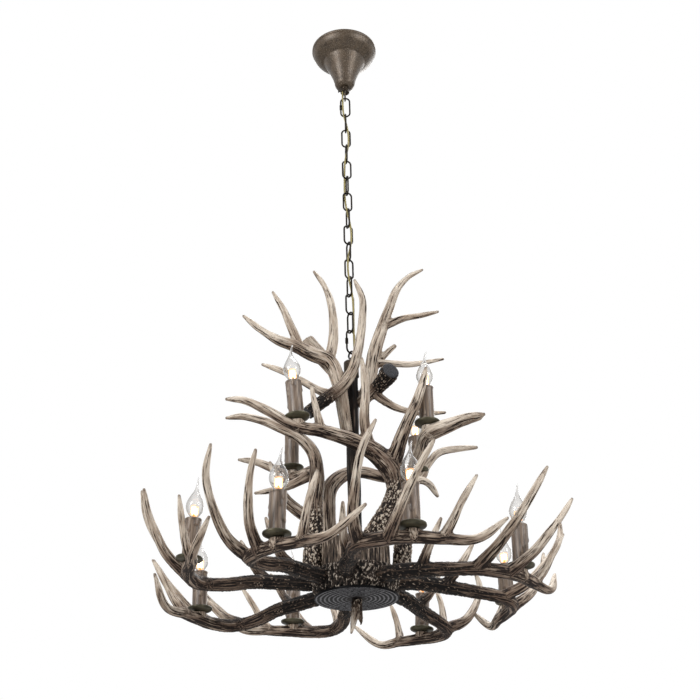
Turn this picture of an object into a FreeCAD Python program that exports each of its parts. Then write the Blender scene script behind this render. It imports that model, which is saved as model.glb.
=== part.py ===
import FreeCAD, Part
import math
import os

V = FreeCAD.Vector

# Ceiling canopy, a spun bell with a shallow dish above a tapering cone
canopy_r = 78.0
canopy_h = 118.0
canopy_wall = 1.5
rim_h = 7.0
dish_h = 35.0
dish_r = 52.0
cone_top_r = 48.0
neck_r = 24.0
neck_h = 17.0
neck_edge = 9.0

# Bracket under the ceiling and the threaded tube that holds the canopy up to it
bracket_l = 110.0
bracket_w = 24.0
bracket_t = 3.0
bracket_hole_r = 2.75
bracket_hole_pitch = 80.0
nipple_r = 5.0
nipple_bore_r = 3.5
nipple_grip = 8.0

# Collar with its hanging loop
collar_r = 10.5
collar_h = 14.0
collar_waist_r = 7.5
collar_waist_h = 5.0
loop_r = 12.0
loop_wire = 4.0
set_screw_r = 1.6
set_screw_l = 9.0
set_screw_grip = 3.0

# Chain of plain oval links between two screw-gate links
link_l = 52.0
link_w = 22.0
link_wire = 3.4
gate_l = 58.0
gate_w = 24.0
gate_nut_r = 3.6
gate_nut_l = 13.0
plain_links = 13
link_play = 0.3
link_touch = 0.02
link_twist = 2.7

# Flex that winds down through the chain; places across the chain where one link holds the next
flex_d = 4.4
flex_sides = 6
flex_play = 0.4
flex_exit = (-5.6, -4.4)
flex_entry = (9.5, -4.7)
flex_seat_l = 10.0
FLEX_SIDES = [(-5.2, -4.8), (5.2, -4.6), (5.6, -4.6), (-5.0, -4.9), (-4.8, 5.2), (-5.2, 5.4), (-5.0, -4.9),
              (5.2, -4.6), (5.6, -4.7), (-5.4, -4.6), (-5.0, -4.9), (5.0, -4.6), (5.9, -5.0), (5.2, -4.7),
              (5.7, -4.8)]

# Stem with its cap and eye
eye_r = 8.0
eye_wire = 4.0
eye_neck = 7.0
eye_shank_r = 3.5
eye_shank_l = 20.0
cap_r = 16.0
cap_h = 35.0
cap_edge = 2.0
stem_r = 14.5
stem_h = 427.0

# Log hub, the fluted drum on it, the sawn disc under it
drum_r = 68.0
drum_h = 59.0
hub_top_r = 88.0
hub_low_r = 82.0
hub_h = 47.0
disc_r = 82.0
disc_t = 5.0
disc_rings = 3
disc_ring_pitch = 18.0
disc_ring_w = 5.0
disc_ring_depth = 1.8
bark_depth = 0.035
drum_flutes = 24
drum_flute_depth = 2.0
stem_flutes = 10
stem_flute_depth = 1.6

# Candle: drip cup, sleeve, flame bulb
pad_r = 14.0
cup_r = 25.5
cup_h = 9.0
cup_floor = 3.0
cup_wall = 1.8
sleeve_r = 16.5
sleeve_h = 80.0
bulb_cap_r = 6.9
bulb_cap_l = 24.0
thread_play = 0.1
bulb_seat_play = 0.5
bulb_r = 17.5
bulb_h = 58.0
bulb_neck_r = 6.5
bulb_tail = 24.0

# Sides of the modelled rounds
beam_sides = 6
tine_sides = 5
link_sides = 6
link_arc_steps = 4
loop_steps = 12
bell_sides = 24
bell_steps = 3
candle_sides = 10
bulb_sides = 7
fitting_sides = 12

# Lower casting, candle straight ahead on -Y; each station is x, y, z above the disc, radius
LOWER = {
    "beam": [(-34, -60, 32, 16), (-54, -122, 29, 14.5), (-62, -192, 22, 13.5), (-78, -246, 13, 13),
             (-74, -290, 8, 13), (-36, -322, 7, 13), (4, -334, 8, 12), (50, -340, 7, 11),
             (110, -352, 8, 8.5), (172, -346, 54, 3)],
    "first tine": [(-77, -274, 9, 13), (-102, -322, 37, 10.5), (-110, -365, 80, 8.5),
                   (-108, -400, 130, 6.8), (-89, -421, 177, 3)],
    "second tine": [(-40, -324, 8, 12), (-34, -368, 40, 9.5), (-23, -397, 76, 8),
                    (-8, -420, 112, 6.2), (9, -435, 145, 3)],
    "third tine": [(52, -340, 8, 10.5), (65, -358, 36, 8), (78, -371, 66, 6.4), (102, -388, 110, 3)],
    "brow tine": [(-58, -158, 25, 11.5), (-78, -182, 56, 8.5), (-88, -214, 109, 3)],
}
LOWER_PAD = (0, -333, 23)
LOWER_PAD_DEPTH = 19.0
LOWER_SEAT_Z = 30.0
# Each copy as set by hand: turn about the stem, nod and roll in degrees
LOWER_SET = [(-23.7, -0.2, 1.5), (17.0, -1.1, 0.7), (64.8, 2.2, -0.9), (113.2, 0.4, 0.5),
             (155.2, 1.8, -3.4), (204.8, -2.1, 0.1), (251.6, 1.9, -0.4), (292.3, -3.3, 1.4)]

# Middle antlers; heights above what each stands on
MID_FRONT = {
    "beam": [(23, -58, -13, 17), (62, -66, 41, 17), (82, -66, 86, 18.5), (77, -68, 121, 22),
             (59, -76, 146, 22), (28, -94, 165, 18), (-10, -114, 176, 15), (-60, -134, 185, 13),
             (-107, -150, 189, 11.5), (-175, -158, 226, 9.5), (-212, -155, 245, 7.5), (-247, -150, 251, 3)],
    "brow tine": [(79, -74, 145, 17), (102, -115, 195, 12.5), (125, -131, 240, 10.5), (140, -140, 281, 8),
                  (148, -147, 312, 3)],
    "upright tine": [(29, -96, 174, 12.5), (23, -116, 215, 10.5), (27, -134, 271, 8.5), (21, -148, 336, 3)],
    "short tine": [(-62, -136, 187, 10.5), (-71, -140, 232, 6.5), (-80, -146, 278, 2.5)],
}
MID_LEFT = {
    "beam": [(-84, -8, -10, 19), (-83, -8, 32, 19.5), (-81, -10, 87, 18), (-79, -12, 148, 16.5),
             (-74, -10, 200, 15.5), (-80, -14, 245, 13.5), (-102, -22, 274, 12), (-138, -26, 296, 10.5),
             (-185, -28, 317, 9), (-225, -28, 328, 7), (-260, -26, 326, 3)],
    "back branch": [(-76, -6, 215, 13.5), (-95, 50, 232, 12.5), (-131, 105, 246, 12), (-179, 122, 276, 9.5),
                    (-211, 120, 289, 7.5), (-247, 112, 291, 3)],
    "hooked tine": [(-85, 20, 217, 11.5), (-128, 48, 206, 9), (-170, 60, 199, 6.5), (-206, 66, 196, 3)],
}
MID_BACK = {
    "beam": [(-50, 70, -10, 19), (-55, 69, 74, 18), (-57, 74, 149, 19), (-53, 83, 206, 18),
             (-19, 99, 246, 14.5), (18, 112, 256, 13), (65, 128, 250, 12.5), (137, 149, 251, 12),
             (160, 155, 286, 9), (186, 160, 316, 8.5), (226, 164, 326, 7.5), (272, 162, 328, 3.5)],
    "low branch": [(-58, 74, 146, 15), (-88, 72, 142, 13.5), (-114, 67, 154, 13), (-145, 60, 182, 12),
                   (-161, 52, 219, 9), (-174, 46, 257, 3)],
}
MID_RIGHT = {
    "beam": [(86, 20, -10, 18), (91, 22, 28, 18), (98, 22, 94, 17), (104, 14, 148, 15.5),
             (117, -10, 198, 14), (135, -62, 234, 12.5), (147, -108, 248, 12), (187, -114, 263, 10),
             (224, -110, 278, 8), (262, -102, 286, 4.5)],
    "under tine": [(140, -84, 242, 11), (176, -100, 252, 9), (216, -102, 268, 7), (256, -98, 280, 3.5)],
    "hooked tine": [(110, 8, 186, 11.5), (134, 24, 200, 8.5), (154, 40, 197, 7.5), (172, 60, 177, 3.5)],
}
MID_PAD_DEPTH = 16.0
# Upper candles: foot of the cup above what the antler stands on, and the lean to the side in degrees
MID_PADS = [(-107, -150, 203, -5.5), (147, -108, 262, 0.0), (137, 149, 266, 0.0), (-131, 105, 260, 0.0)]

# Top antlers; heights from the top of the stem's cap
TOP_LEFT = {
    "beam": [(-12, -12, -169, 12), (-20, -26, -112, 14), (-29, -30, -56, 15.5), (-46, -34, -16, 17),
             (-84, -44, 0, 15.5), (-117, -55, 13, 13.5), (-152, -66, 22, 10.5), (-187, -76, 42, 7.5),
             (-224, -86, 71, 3)],
    "upright tine": [(-50, -33, -18, 13), (-38, -34, 24, 11), (-36, -36, 79, 9.5), (-42, -39, 129, 8),
                     (-55, -42, 167, 6), (-77, -45, 201, 3)],
    "forked tine": [(-108, -54, 13, 11.5), (-126, -60, 58, 9), (-141, -63, 96, 7.2), (-164, -66, 139, 3)],
    "low tine": [(-33, -28, -92, 10.5), (-66, -36, -84, 9), (-107, -42, -60, 7.5), (-148, -46, -39, 6.5),
                 (-186, -48, -25, 3)],
}
TOP_FRONT = {
    "beam": [(-91, -68, -150, 13), (-51, -56, -110, 13.5), (-20, -47, -80, 13), (3, -40, -38, 11.5),
             (16, -38, 13, 10.5), (25, -46, 71, 9), (27, -54, 123, 7.2), (11, -58, 169, 3)],
}
TOP_RIGHT = {
    "beam": [(21, 10, -94, 14), (38, 18, -34, 15), (50, 24, 31, 15), (67, 26, 88, 13),
             (83, 24, 134, 11), (106, 20, 190, 8.5), (132, 16, 218, 6.2), (164, 12, 234, 3)],
    "side tine": [(80, 26, 103, 10.5), (116, 24, 117, 7.5), (153, 22, 122, 6), (194, 20, 130, 3)],
    "level tine": [(53, 22, 8, 10), (87, 14, 1, 7.8), (129, 5, -6, 6.2), (196, -5, 0, 3)],
    "broken tine": [(64, 26, 20, 8), (82, 31, 41, 6.5), (96, 34, 55, 5)],
    "sawn root": [(14, 18, -83, 12), (-34, 32, -8, 15), (-96, 36, 72, 17.5)],
}
TOP_STUB = {
    "beam": [(81, -72, -58, 18), (77, -63, -60, 20), (67, -40, -64, 17), (46, -14, -75, 14),
             (14, 4, -96, 12)],
    "low tine": [(44, -12, -76, 11), (66, -14, -99, 9), (95, -15, -118, 7.5), (139, -18, -131, 6),
                 (192, -22, -133, 3)],
}

# Two antler tips under the disc
FINIAL = {
    "beam": [(0, 0, 4, 11), (-4, -2, -30, 7.5), (-12, -5, -67, 2)],
    "second tip": [(3, 1, -6, 8), (6, 4, -28, 5), (7, 5, -47, 2)],
}


def ring(centre, across, up, radii):
    """Closed ring of points round a centre, one point for each radius."""
    count = len(radii)
    points = []
    for k, radius in enumerate(radii):
        turn = 2.0 * math.pi * k / count
        points.append(centre + across * (radius * math.cos(turn)) + up * (radius * math.sin(turn)))
    return points


def flat(points):
    """Flat face bounded by the points."""
    return Part.Face(Part.makePolygon(points + [points[0]]))


def skin(rings, closed=False):
    """Solid through rings of equal count; a closed run joins its last ring to its first."""
    pairs = list(zip(rings, rings[1:]))
    if closed:
        pairs.append((rings[-1], rings[0]))
    faces = []
    for low, high in pairs:
        count = len(low)
        for k in range(count):
            after = (k + 1) % count
            a, b, c, d = low[k], low[after], high[after], high[k]
            if abs((b - a).cross(d - a).dot(c - a)) < 1e-9 * (b - a).Length * (d - a).Length:
                faces.append(flat([a, b, c, d]))
            else:
                faces.append(flat([a, b, c]))
                faces.append(flat([a, c, d]))
    if not closed:
        faces.append(flat(rings[0]))
        faces.append(flat(rings[-1]))
    solid = Part.Solid(Part.Shell(faces))
    if solid.Volume < 0:
        solid.reverse()
    return solid


def limb(stations, sides):
    """Tapering limb of horn along a smooth line through its stations, as thick as its round section."""
    fill = math.sqrt(2.0 * math.pi / (sides * math.sin(2.0 * math.pi / sides)))
    points = [V(x, y, z) for x, y, z, r in stations]
    line = Part.BSplineCurve()
    line.interpolate(points)
    across = None
    rings = []
    for point, (x, y, z, radius) in zip(points, stations):
        along = V(*line.tangent(line.parameter(point))[0])
        along.normalize()
        if across is None:
            across = along.cross(V(0.3, 0.2, 1.0))
        across = across - along * across.dot(along)
        across.normalize()
        rings.append(ring(point, across, along.cross(across), [radius * fill] * sides))
    return skin(rings)


def column(levels, wobble, sides):
    """Upright log: radius at each height, with bark flutes given by a formula of the angle."""
    rings = []
    for z, radius in levels:
        radii = [radius * wobble(2.0 * math.pi * k / sides) for k in range(sides)]
        rings.append(ring(V(0, 0, z), V(1, 0, 0), V(0, 1, 0), radii))
    return skin(rings)


def largest(shape):
    """The main solid of a cut."""
    return max(shape.Solids, key=lambda s: s.Volume)


def antler(limbs, extra=()):
    """One horn: its beam with every tine grown into it."""
    beam = limb(limbs["beam"], beam_sides)
    tines = [limb(stations, tine_sides) for name, stations in limbs.items() if name != "beam"]
    joined = beam
    for piece in tines + list(extra):
        joined = joined.fuse(piece)
    return largest(joined.removeSplitter())


def oval(length, width, wire, flat_to_x):
    """One closed link standing upright about the origin."""
    bend = (width - wire) / 2.0
    half = (length - width) / 2.0
    side = V(1, 0, 0) if flat_to_x else V(0, 1, 0)
    normal = V(0, 1, 0) if flat_to_x else V(1, 0, 0)
    rings = []
    for end in (1, -1):
        for k in range(link_arc_steps + 1):
            turn = math.pi * k / link_arc_steps
            out = (side * math.cos(turn) + V(0, 0, 1) * math.sin(turn)) * end
            rings.append(ring(V(0, 0, half * end) + out * bend, out, normal, [wire / 2.0] * link_sides))
    return skin(rings, closed=True)


def hoop(radius, wire, steps):
    """Round eye of wire in the YZ plane about the origin."""
    rings = []
    for k in range(steps):
        turn = 2.0 * math.pi * k / steps
        out = V(0, math.cos(turn), math.sin(turn))
        rings.append(ring(out * radius, out, V(1, 0, 0), [wire / 2.0] * link_sides))
    return skin(rings, closed=True)


def turned(outline, sides, closed=False):
    """Turned piece about Z in flat sides, from an outline of radius and height."""
    rings = [ring(V(0, 0, z), V(1, 0, 0), V(0, 1, 0), [radius] * sides) for radius, z in outline]
    return skin(rings, closed)


def sweep(start, middle, end, steps):
    """Points of the arc through three points of an outline, without its first."""
    arc = Part.Arc(V(start[0], 0, start[1]), V(middle[0], 0, middle[1]), V(end[0], 0, end[1]))
    points = arc.discretize(steps + 1)[1:]
    return [(p.x, p.z) for p in points]


def twisted(shape, turn):
    """Copy of a shape turned about the chain's line by degrees."""
    copy = shape.copy()
    copy.rotate(V(0, 0, 0), V(0, 0, 1), turn)
    return copy


def moved(shape, x, y, z):
    """Copy of a shape shifted by x, y, z."""
    copy = shape.copy()
    copy.translate(V(x, y, z))
    return copy


os.makedirs("parts", exist_ok=True)
nodes = {}


def bell(wall):
    """Outline of the canopy from rim to neck, drawn in by a wall."""
    rim = (canopy_r - wall, -rim_h)
    dish_low = (dish_r - wall, -dish_h)
    cone_top = (cone_top_r - wall, -dish_h - (dish_r - cone_top_r))
    neck_top = (neck_r - wall, neck_h - canopy_h)
    dish_mid = (rim[0] - 0.3 * (rim[0] - dish_low[0]), -rim_h - 0.6 * (dish_h - rim_h))
    cone_mid = ((cone_top[0] + 1.5 * neck_top[0]) / 2.5, (cone_top[1] + neck_top[1]) / 2.0)
    return ([(canopy_r - wall, 0), rim] + sweep(rim, dish_mid, dish_low, bell_steps) + [cone_top]
            + sweep(cone_top, cone_mid, neck_top, bell_steps))


floor_z = -canopy_h + canopy_wall
outline = bell(0.0) + [(neck_r, neck_edge - canopy_h), (neck_r - 0.3 * neck_edge, 0.3 * neck_edge - canopy_h)]
outline += [(neck_r - neck_edge, -canopy_h), (nipple_r, -canopy_h), (nipple_r, floor_z)]
outline += [(neck_r - neck_edge, floor_z), (neck_r - canopy_wall, floor_z + neck_edge - canopy_wall)]
outline += bell(canopy_wall)[::-1]
canopy = turned(outline, bell_sides, closed=True)
nipple_low = -canopy_h - nipple_grip
nipple = turned([(nipple_bore_r, nipple_low), (nipple_r, nipple_low), (nipple_r, 0), (nipple_bore_r, 0)],
                fitting_sides, closed=True)
nipple_space = turned([(nipple_r, nipple_low), (nipple_r, 0)], fitting_sides)
nodes["canopy"] = [canopy.cut(nipple_space)]

bracket = Part.makeBox(bracket_l, bracket_w, bracket_t, V(-bracket_l / 2.0, -bracket_w / 2.0, -bracket_t))
for side in (-1, 1):
    bracket = bracket.cut(Part.makeCylinder(bracket_hole_r, bracket_t,
                                            V(side * bracket_hole_pitch / 2.0, 0, -bracket_t)))
nodes["bracket"] = [bracket.cut(nipple_space)]
nodes["nipple"] = [nipple]

collar_low = -canopy_h - collar_h
loop_z = collar_low + loop_wire / 2.0 - loop_r
collar_waist = -canopy_h - collar_waist_h
collar = turned([(collar_r, collar_low), (collar_r, collar_waist), (collar_waist_r, collar_waist),
                 (collar_waist_r, -canopy_h)], fitting_sides)
collar = collar.fuse(moved(hoop(loop_r, loop_wire, loop_steps), 0, 0, loop_z)).cut(nipple_space)
screw_z = (collar_low + collar_waist) / 2.0
screw_ends = (set_screw_grip - collar_r, set_screw_grip - collar_r - set_screw_l)
set_screw = skin([ring(V(end, 0, screw_z), V(0, 1, 0), V(0, 0, 1), [set_screw_r] * link_sides)
                  for end in screw_ends])
exit_x, exit_y = flex_exit
flex_start = collar_low + flex_d
flex_hole = moved(turned([(flex_d / 2.0 + flex_play, collar_low), (flex_d / 2.0 + flex_play, flex_start)],
                         fitting_sides), exit_x, exit_y, 0)
nodes["hanging_loop"] = [largest(collar.cut(set_screw).cut(flex_hole))]
nodes["set_screw"] = [set_screw]

# Chain from the loop down: each link hooks over the wire above it
loop_low = loop_z - loop_r
gate_half = (gate_l - link_wire) / 2.0
link_half = (link_l - link_wire) / 2.0
gate_top_z = loop_low + (loop_wire + link_wire) / 2.0 + link_play - gate_half
first_z = gate_top_z - gate_half + link_wire + link_play - link_half
link_pitch = link_l - 2.0 * link_wire - link_touch
last_z = first_z - (plain_links - 1) * link_pitch
gate_low_z = last_z - link_half + link_wire + link_play - gate_half
eye_top = gate_low_z - gate_half + (eye_wire + link_wire) / 2.0 + link_play
gate = oval(gate_l, gate_w, link_wire, True)
nut_ring = [gate_nut_r] * link_sides
gate_side = -(gate_w - link_wire) / 2.0
nut = skin([ring(V(gate_side, 0, z), V(1, 0, 0), V(0, 1, 0), nut_ring)
            for z in (-gate_nut_l / 2.0, gate_nut_l / 2.0)]).cut(gate)
nodes["gate_link_top"] = [moved(gate, 0, 0, gate_top_z)]
nodes["gate_nut_top"] = [moved(nut, 0, 0, gate_top_z)]
low_twist = link_twist * (plain_links + 1)
nodes["gate_link_low"] = [twisted(moved(gate, 0, 0, gate_low_z), low_twist)]
nodes["gate_nut_low"] = [twisted(moved(nut, 0, 0, gate_low_z), low_twist)]
plain = {turn: oval(link_l, link_w, link_wire, turn) for turn in (True, False)}
nodes["chain_links"] = [twisted(moved(plain[i % 2 == 1], 0, 0, first_z - i * link_pitch), link_twist * (i + 1))
                        for i in range(plain_links)]

# Stem and its fittings below the chain
eye_z = eye_top - eye_r
cap_top = eye_z - eye_r - eye_wire / 2.0 - eye_neck
shank_top = eye_z - eye_r + eye_wire / 2.0
shank = turned([(eye_shank_r, cap_top - eye_shank_l), (eye_shank_r, shank_top)], candle_sides)
eye = twisted(moved(hoop(eye_r, eye_wire, loop_steps), 0, 0, eye_z), low_twist).fuse(shank)
nodes["stem_eye"] = [largest(eye)]
cap = turned([(cap_r, cap_top - cap_h), (cap_r, cap_top - cap_edge), (cap_r - cap_edge, cap_top)], fitting_sides)
entry_x, entry_y = flex_entry
flex_seat = moved(turned([(flex_d / 2.0 + flex_play, cap_top - flex_seat_l), (flex_d / 2.0 + flex_play, cap_top)],
                         fitting_sides), entry_x, entry_y, 0)
nodes["stem_cap"] = [cap.cut(shank).cut(twisted(flex_seat, low_twist))]
stem_top = cap_top - cap_h
hub_top = stem_top - stem_h
disc_top = hub_top - hub_h
disc_low = disc_top - disc_t
drum_top = hub_top + drum_h


def fluted(depth, radius, flutes):
    """Flute pattern: radius falls in between the ridges."""
    return lambda turn: 1.0 - depth / radius * (0.5 - 0.5 * math.cos(flutes * turn))


def bark(turn):
    """Uneven round of a log."""
    return 1.0 + bark_depth * math.sin(5.0 * turn) + bark_depth * 0.6 * math.sin(9.0 * turn + 1.0)


stem = column([(hub_top, stem_r), (stem_top, stem_r)], fluted(stem_flute_depth, stem_r, stem_flutes),
              2 * stem_flutes)
drum = column([(hub_top, drum_r), (drum_top, drum_r)], fluted(drum_flute_depth, drum_r, drum_flutes),
              2 * drum_flutes)
hub = column([(disc_top, hub_low_r), ((disc_top + hub_top) / 2.0, hub_top_r), (hub_top, hub_top_r)], bark, 32)
nodes["stem"] = [stem]
nodes["drum"] = [drum.cut(stem)]
nodes["hub"] = [hub]
disc = [(disc_r, disc_top), (disc_r, disc_low)]
for k in range(disc_rings):
    middle = disc_r - (k + 0.5) * disc_ring_pitch
    disc += [(middle + disc_ring_w / 2.0, disc_low), (middle, disc_low + disc_ring_depth),
             (middle - disc_ring_w / 2.0, disc_low)]
hub_disc = turned(disc, bell_sides)
nodes["hub_disc"] = [hub_disc]
finial = antler(FINIAL)
nodes["finial"] = [largest(moved(finial, 0, 0, disc_low).cut(hub_disc))]


# Candle about its own foot: cup, sleeve and bulb rise from the origin
sleeve_top = cup_floor + sleeve_h
well_low = sleeve_top - bulb_cap_l - bulb_seat_play
well_r = (bulb_cap_r + thread_play) / math.cos(math.pi / candle_sides)
dish = [(pad_r, 0), (cup_r - cup_wall, cup_floor), (cup_r, cup_h)]
cup = turned(dish + [(cup_r - cup_wall, cup_h), ((sleeve_r + cup_r) / 2.0, cup_floor)], candle_sides)
cup_space = turned(dish + [(cup_r, cup_h + sleeve_h)], candle_sides)
sleeve = turned([(sleeve_r, cup_floor), (sleeve_r, sleeve_top), (well_r, sleeve_top), (well_r, well_low)],
                candle_sides)


def flame_bulb():
    """Flame bulb with its screw cap and bent glass tail."""
    tip = sleeve_top + bulb_h
    outline = [(0.0, bulb_neck_r), (0.2, bulb_r * 0.75), (0.42, bulb_r), (0.62, bulb_r * 0.8), (1.0, bulb_r * 0.2)]
    stations = [(0, sleeve_top + bulb_h * share, radius) for share, radius in outline]
    stations += [(bulb_tail * 0.1, tip + bulb_tail * 0.6, 1.6), (bulb_tail * 0.25, tip + bulb_tail, 0.8)]
    rings = [ring(V(x, 0, z), V(1, 0, 0), V(0, 1, 0), [radius] * bulb_sides) for x, z, radius in stations]
    screw = turned([(bulb_cap_r, sleeve_top - bulb_cap_l), (bulb_cap_r, sleeve_top)], candle_sides)
    return [skin(rings), screw]


bulb = flame_bulb()


def set_lower(shape, k):
    """Copy of a piece of the lower casting, turned to its place round the stem."""
    turn, nod, roll = LOWER_SET[k]
    seat = V(0, 0, LOWER_SEAT_Z)
    copy = shape.copy()
    copy.rotate(seat, V(1, 0, 0), nod)
    copy.rotate(seat, V(0, 1, 0), roll)
    copy.rotate(V(0, 0, 0), V(0, 0, 1), turn)
    copy.translate(V(0, 0, disc_low))
    return copy


def set_upper(shape, k):
    """Copy of a candle piece on the pad of a middle antler."""
    x, y, z, lean = MID_PADS[k]
    copy = shape.copy()
    copy.rotate(V(0, 0, 0), V(0, 1, 0), lean)
    copy.translate(V(x, y, z + MID_SEATS[k]))
    return copy


def boss(depth):
    """Round pad of horn under a cup, widening to the cup's foot."""
    return turned([(pad_r * 0.8, -depth), (pad_r, 0)], bulb_sides)


MID_SEATS = [drum_top, hub_top, hub_top, hub_top]
lower_horn = antler(LOWER, [moved(boss(LOWER_PAD_DEPTH), *LOWER_PAD)])
lower_horns = [largest(set_lower(lower_horn, k).cut(hub)) for k in range(len(LOWER_SET))]
for k, horn in enumerate(lower_horns):
    nodes["lower_antler_%d" % (k + 1)] = [horn]

mid_boss = boss(MID_PAD_DEPTH)
mid_limbs = [MID_FRONT, MID_RIGHT, MID_BACK, MID_LEFT]
mid_names = ["front", "right", "back", "left"]
mid_horns = []
for k, limbs in enumerate(mid_limbs):
    raised = {name: [(x, y, z + MID_SEATS[k], r) for x, y, z, r in stations] for name, stations in limbs.items()}
    horn = antler(raised, [set_upper(mid_boss, k)])
    for other in [drum, hub, set_upper(cup_space, k)] + lower_horns + mid_horns:
        if horn.BoundBox.intersect(other.BoundBox):
            horn = horn.cut(other)
    horn = largest(horn)
    mid_horns.append(horn)
    nodes["mid_antler_" + mid_names[k]] = [horn]

top_horns = []
for name, limbs in (("left", TOP_LEFT), ("front", TOP_FRONT), ("right", TOP_RIGHT), ("stub", TOP_STUB)):
    raised = {part: [(x, y, z + cap_top, r) for x, y, z, r in stations] for part, stations in limbs.items()}
    horn = antler(raised).cut(stem).cut(cap)
    for other in top_horns:
        horn = horn.cut(other)
    horn = largest(horn)
    top_horns.append(horn)
    nodes["top_antler_" + name] = [horn]

# Twelve candles
lower_count = len(LOWER_SET)
nodes["cups_lower"] = [set_lower(moved(cup, *LOWER_PAD), k) for k in range(lower_count)]
nodes["cups_upper"] = [set_upper(cup, k) for k in range(len(MID_PADS))]
nodes["sleeves_lower"] = [set_lower(moved(sleeve, *LOWER_PAD), k) for k in range(lower_count)]
nodes["sleeves_upper"] = [set_upper(sleeve, k) for k in range(len(MID_PADS))]
axis_mark = Part.makeLine(V(0, 0, sleeve_top), V(0, 0, sleeve_top + 1.0))
for k in range(lower_count + len(MID_PADS)):
    if k < lower_count:
        pieces = [set_lower(moved(piece, *LOWER_PAD), k) for piece in bulb]
        mark = set_lower(moved(axis_mark, *LOWER_PAD), k)
    else:
        pieces = [set_upper(piece, k - lower_count) for piece in bulb]
        mark = set_upper(axis_mark, k - lower_count)
    nodes["bulb_%02d" % (k + 1)] = pieces
    foot, above = mark.Vertexes[0].Point, mark.Vertexes[1].Point
    print("bulb %02d pivot %.4f %.4f %.4f axis %.6f %.6f %.6f" % (k + 1, *foot, *(above - foot)))

# Flex: out of the canopy, from side to side through the links, into the cap of the stem
hooks = [gate_top_z - gate_half + link_wire / 2.0]
hooks += [first_z - i * link_pitch - link_half + link_wire / 2.0 for i in range(plain_links)]
hooks += [gate_low_z - gate_half + link_wire / 2.0]
route = [V(exit_x, exit_y, flex_start - link_touch)]
route.append(V(exit_x - flex_play, exit_y - flex_play, (flex_start + hooks[0]) / 2.0))
for k, ((x, y), z) in enumerate(zip(FLEX_SIDES, hooks)):
    hook_turn = FreeCAD.Rotation(V(0, 0, 1), link_twist * (k + 0.5))
    route.append(hook_turn.multVec(V(x, y, z)))
entry = FreeCAD.Rotation(V(0, 0, 1), low_twist).multVec(V(entry_x, entry_y, cap_top))
route += [entry + V(0, 0, flex_seat_l), entry - V(0, 0, flex_seat_l - link_touch)]


def rounded(points):
    """Straight runs joined by tangent arcs as wide as the runs beside them allow."""
    edges = []
    radii = []
    start = points[0]
    for before, at, after in zip(points, points[1:], points[2:]):
        back = (before - at).normalize()
        on = (after - at).normalize()
        half = (math.pi - back.getAngle(on)) / 2.0
        reach = 0.45 * min((before - at).Length, (after - at).Length)
        radius = reach / math.tan(half)
        radii.append(radius)
        middle = at + (back + on).normalize() * (radius / math.cos(half) - radius)
        edges.append(Part.LineSegment(start, at + back * reach).toShape())
        edges.append(Part.Arc(at + back * reach, middle, at + on * reach).toShape())
        start = at + on * reach
    edges.append(Part.LineSegment(start, points[-1]).toShape())
    return Part.Wire(edges), radii


path, radii = rounded(route)
section = ring(route[0], V(1, 0, 0), V(0, 1, 0), [flex_d / 2.0] * flex_sides)
section_wire = Part.makePolygon(section + [section[0]])
flex = path.makePipeShell([section_wire], True, False)
nodes["flex"] = [flex]
print("flex radii " + " ".join("%.0f" % radius for radius in radii))
print("flex length %.1f mm, volume against section times length %.4f"
      % (path.Length, flex.Volume / (Part.Face(section_wire).Area * path.Length)))
for point in route:
    print("flex point %.3f %.3f %.3f" % (point.x, point.y, point.z))
for label, height in (("loop_low", loop_low), ("gate_top_z", gate_top_z), ("gate_low_z", gate_low_z),
                      ("last_z", last_z), ("eye_top", eye_top), ("cap_top", cap_top), ("hub_top", hub_top),
                      ("disc_low", disc_low), ("gate_half", gate_half), ("link_half", link_half),
                      ("low_twist", low_twist)):
    print("height %s %.4f" % (label, height))

for name, solids in nodes.items():
    shape = solids[0] if len(solids) == 1 else Part.makeCompound(solids)
    shape.exportStep("parts/" + name + ".step")
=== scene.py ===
"""Looks of an antler chandelier on a chain: horns round a log hub, and twelve candles with flame bulbs."""
import logging
import math
from dataclasses import dataclass
from enum import Enum

import bmesh
import bpy
import numpy as np
from bmesh.types import BMEdge, BMesh, BMVert
from bpy.types import ID, Material, Mesh, Node, NodeSocket, NodeTree, Object
from mathutils import Matrix, Vector, noise
from mathutils.geometry import interpolate_bezier


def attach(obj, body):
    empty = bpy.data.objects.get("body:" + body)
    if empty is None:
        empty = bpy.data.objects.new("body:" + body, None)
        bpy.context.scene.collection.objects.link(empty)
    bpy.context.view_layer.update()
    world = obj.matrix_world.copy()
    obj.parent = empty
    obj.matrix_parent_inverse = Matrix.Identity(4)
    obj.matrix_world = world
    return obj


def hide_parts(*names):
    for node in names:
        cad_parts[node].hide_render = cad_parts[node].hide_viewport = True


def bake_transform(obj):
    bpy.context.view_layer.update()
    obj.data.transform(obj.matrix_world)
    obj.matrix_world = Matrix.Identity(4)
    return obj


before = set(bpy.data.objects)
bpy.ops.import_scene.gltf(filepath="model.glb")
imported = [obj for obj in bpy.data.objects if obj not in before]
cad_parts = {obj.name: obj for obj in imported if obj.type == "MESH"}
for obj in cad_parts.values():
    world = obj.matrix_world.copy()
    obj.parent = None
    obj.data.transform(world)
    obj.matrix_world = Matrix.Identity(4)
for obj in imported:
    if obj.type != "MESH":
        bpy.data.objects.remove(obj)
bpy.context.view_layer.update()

LOG = logging.getLogger("chandelier")
MM = 0.001
BLACK, WHITE = "#000000", "#FFFFFF"
MIX_FACTOR, MIX_BELOW, MIX_ABOVE, MIX_RESULT = 0, 6, 7, 2
Station = tuple[float, float, float, float]
Point = tuple[float, float, float]
Outline = list[tuple[float, float]]
Source = Node | NodeSocket | float | str

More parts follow.
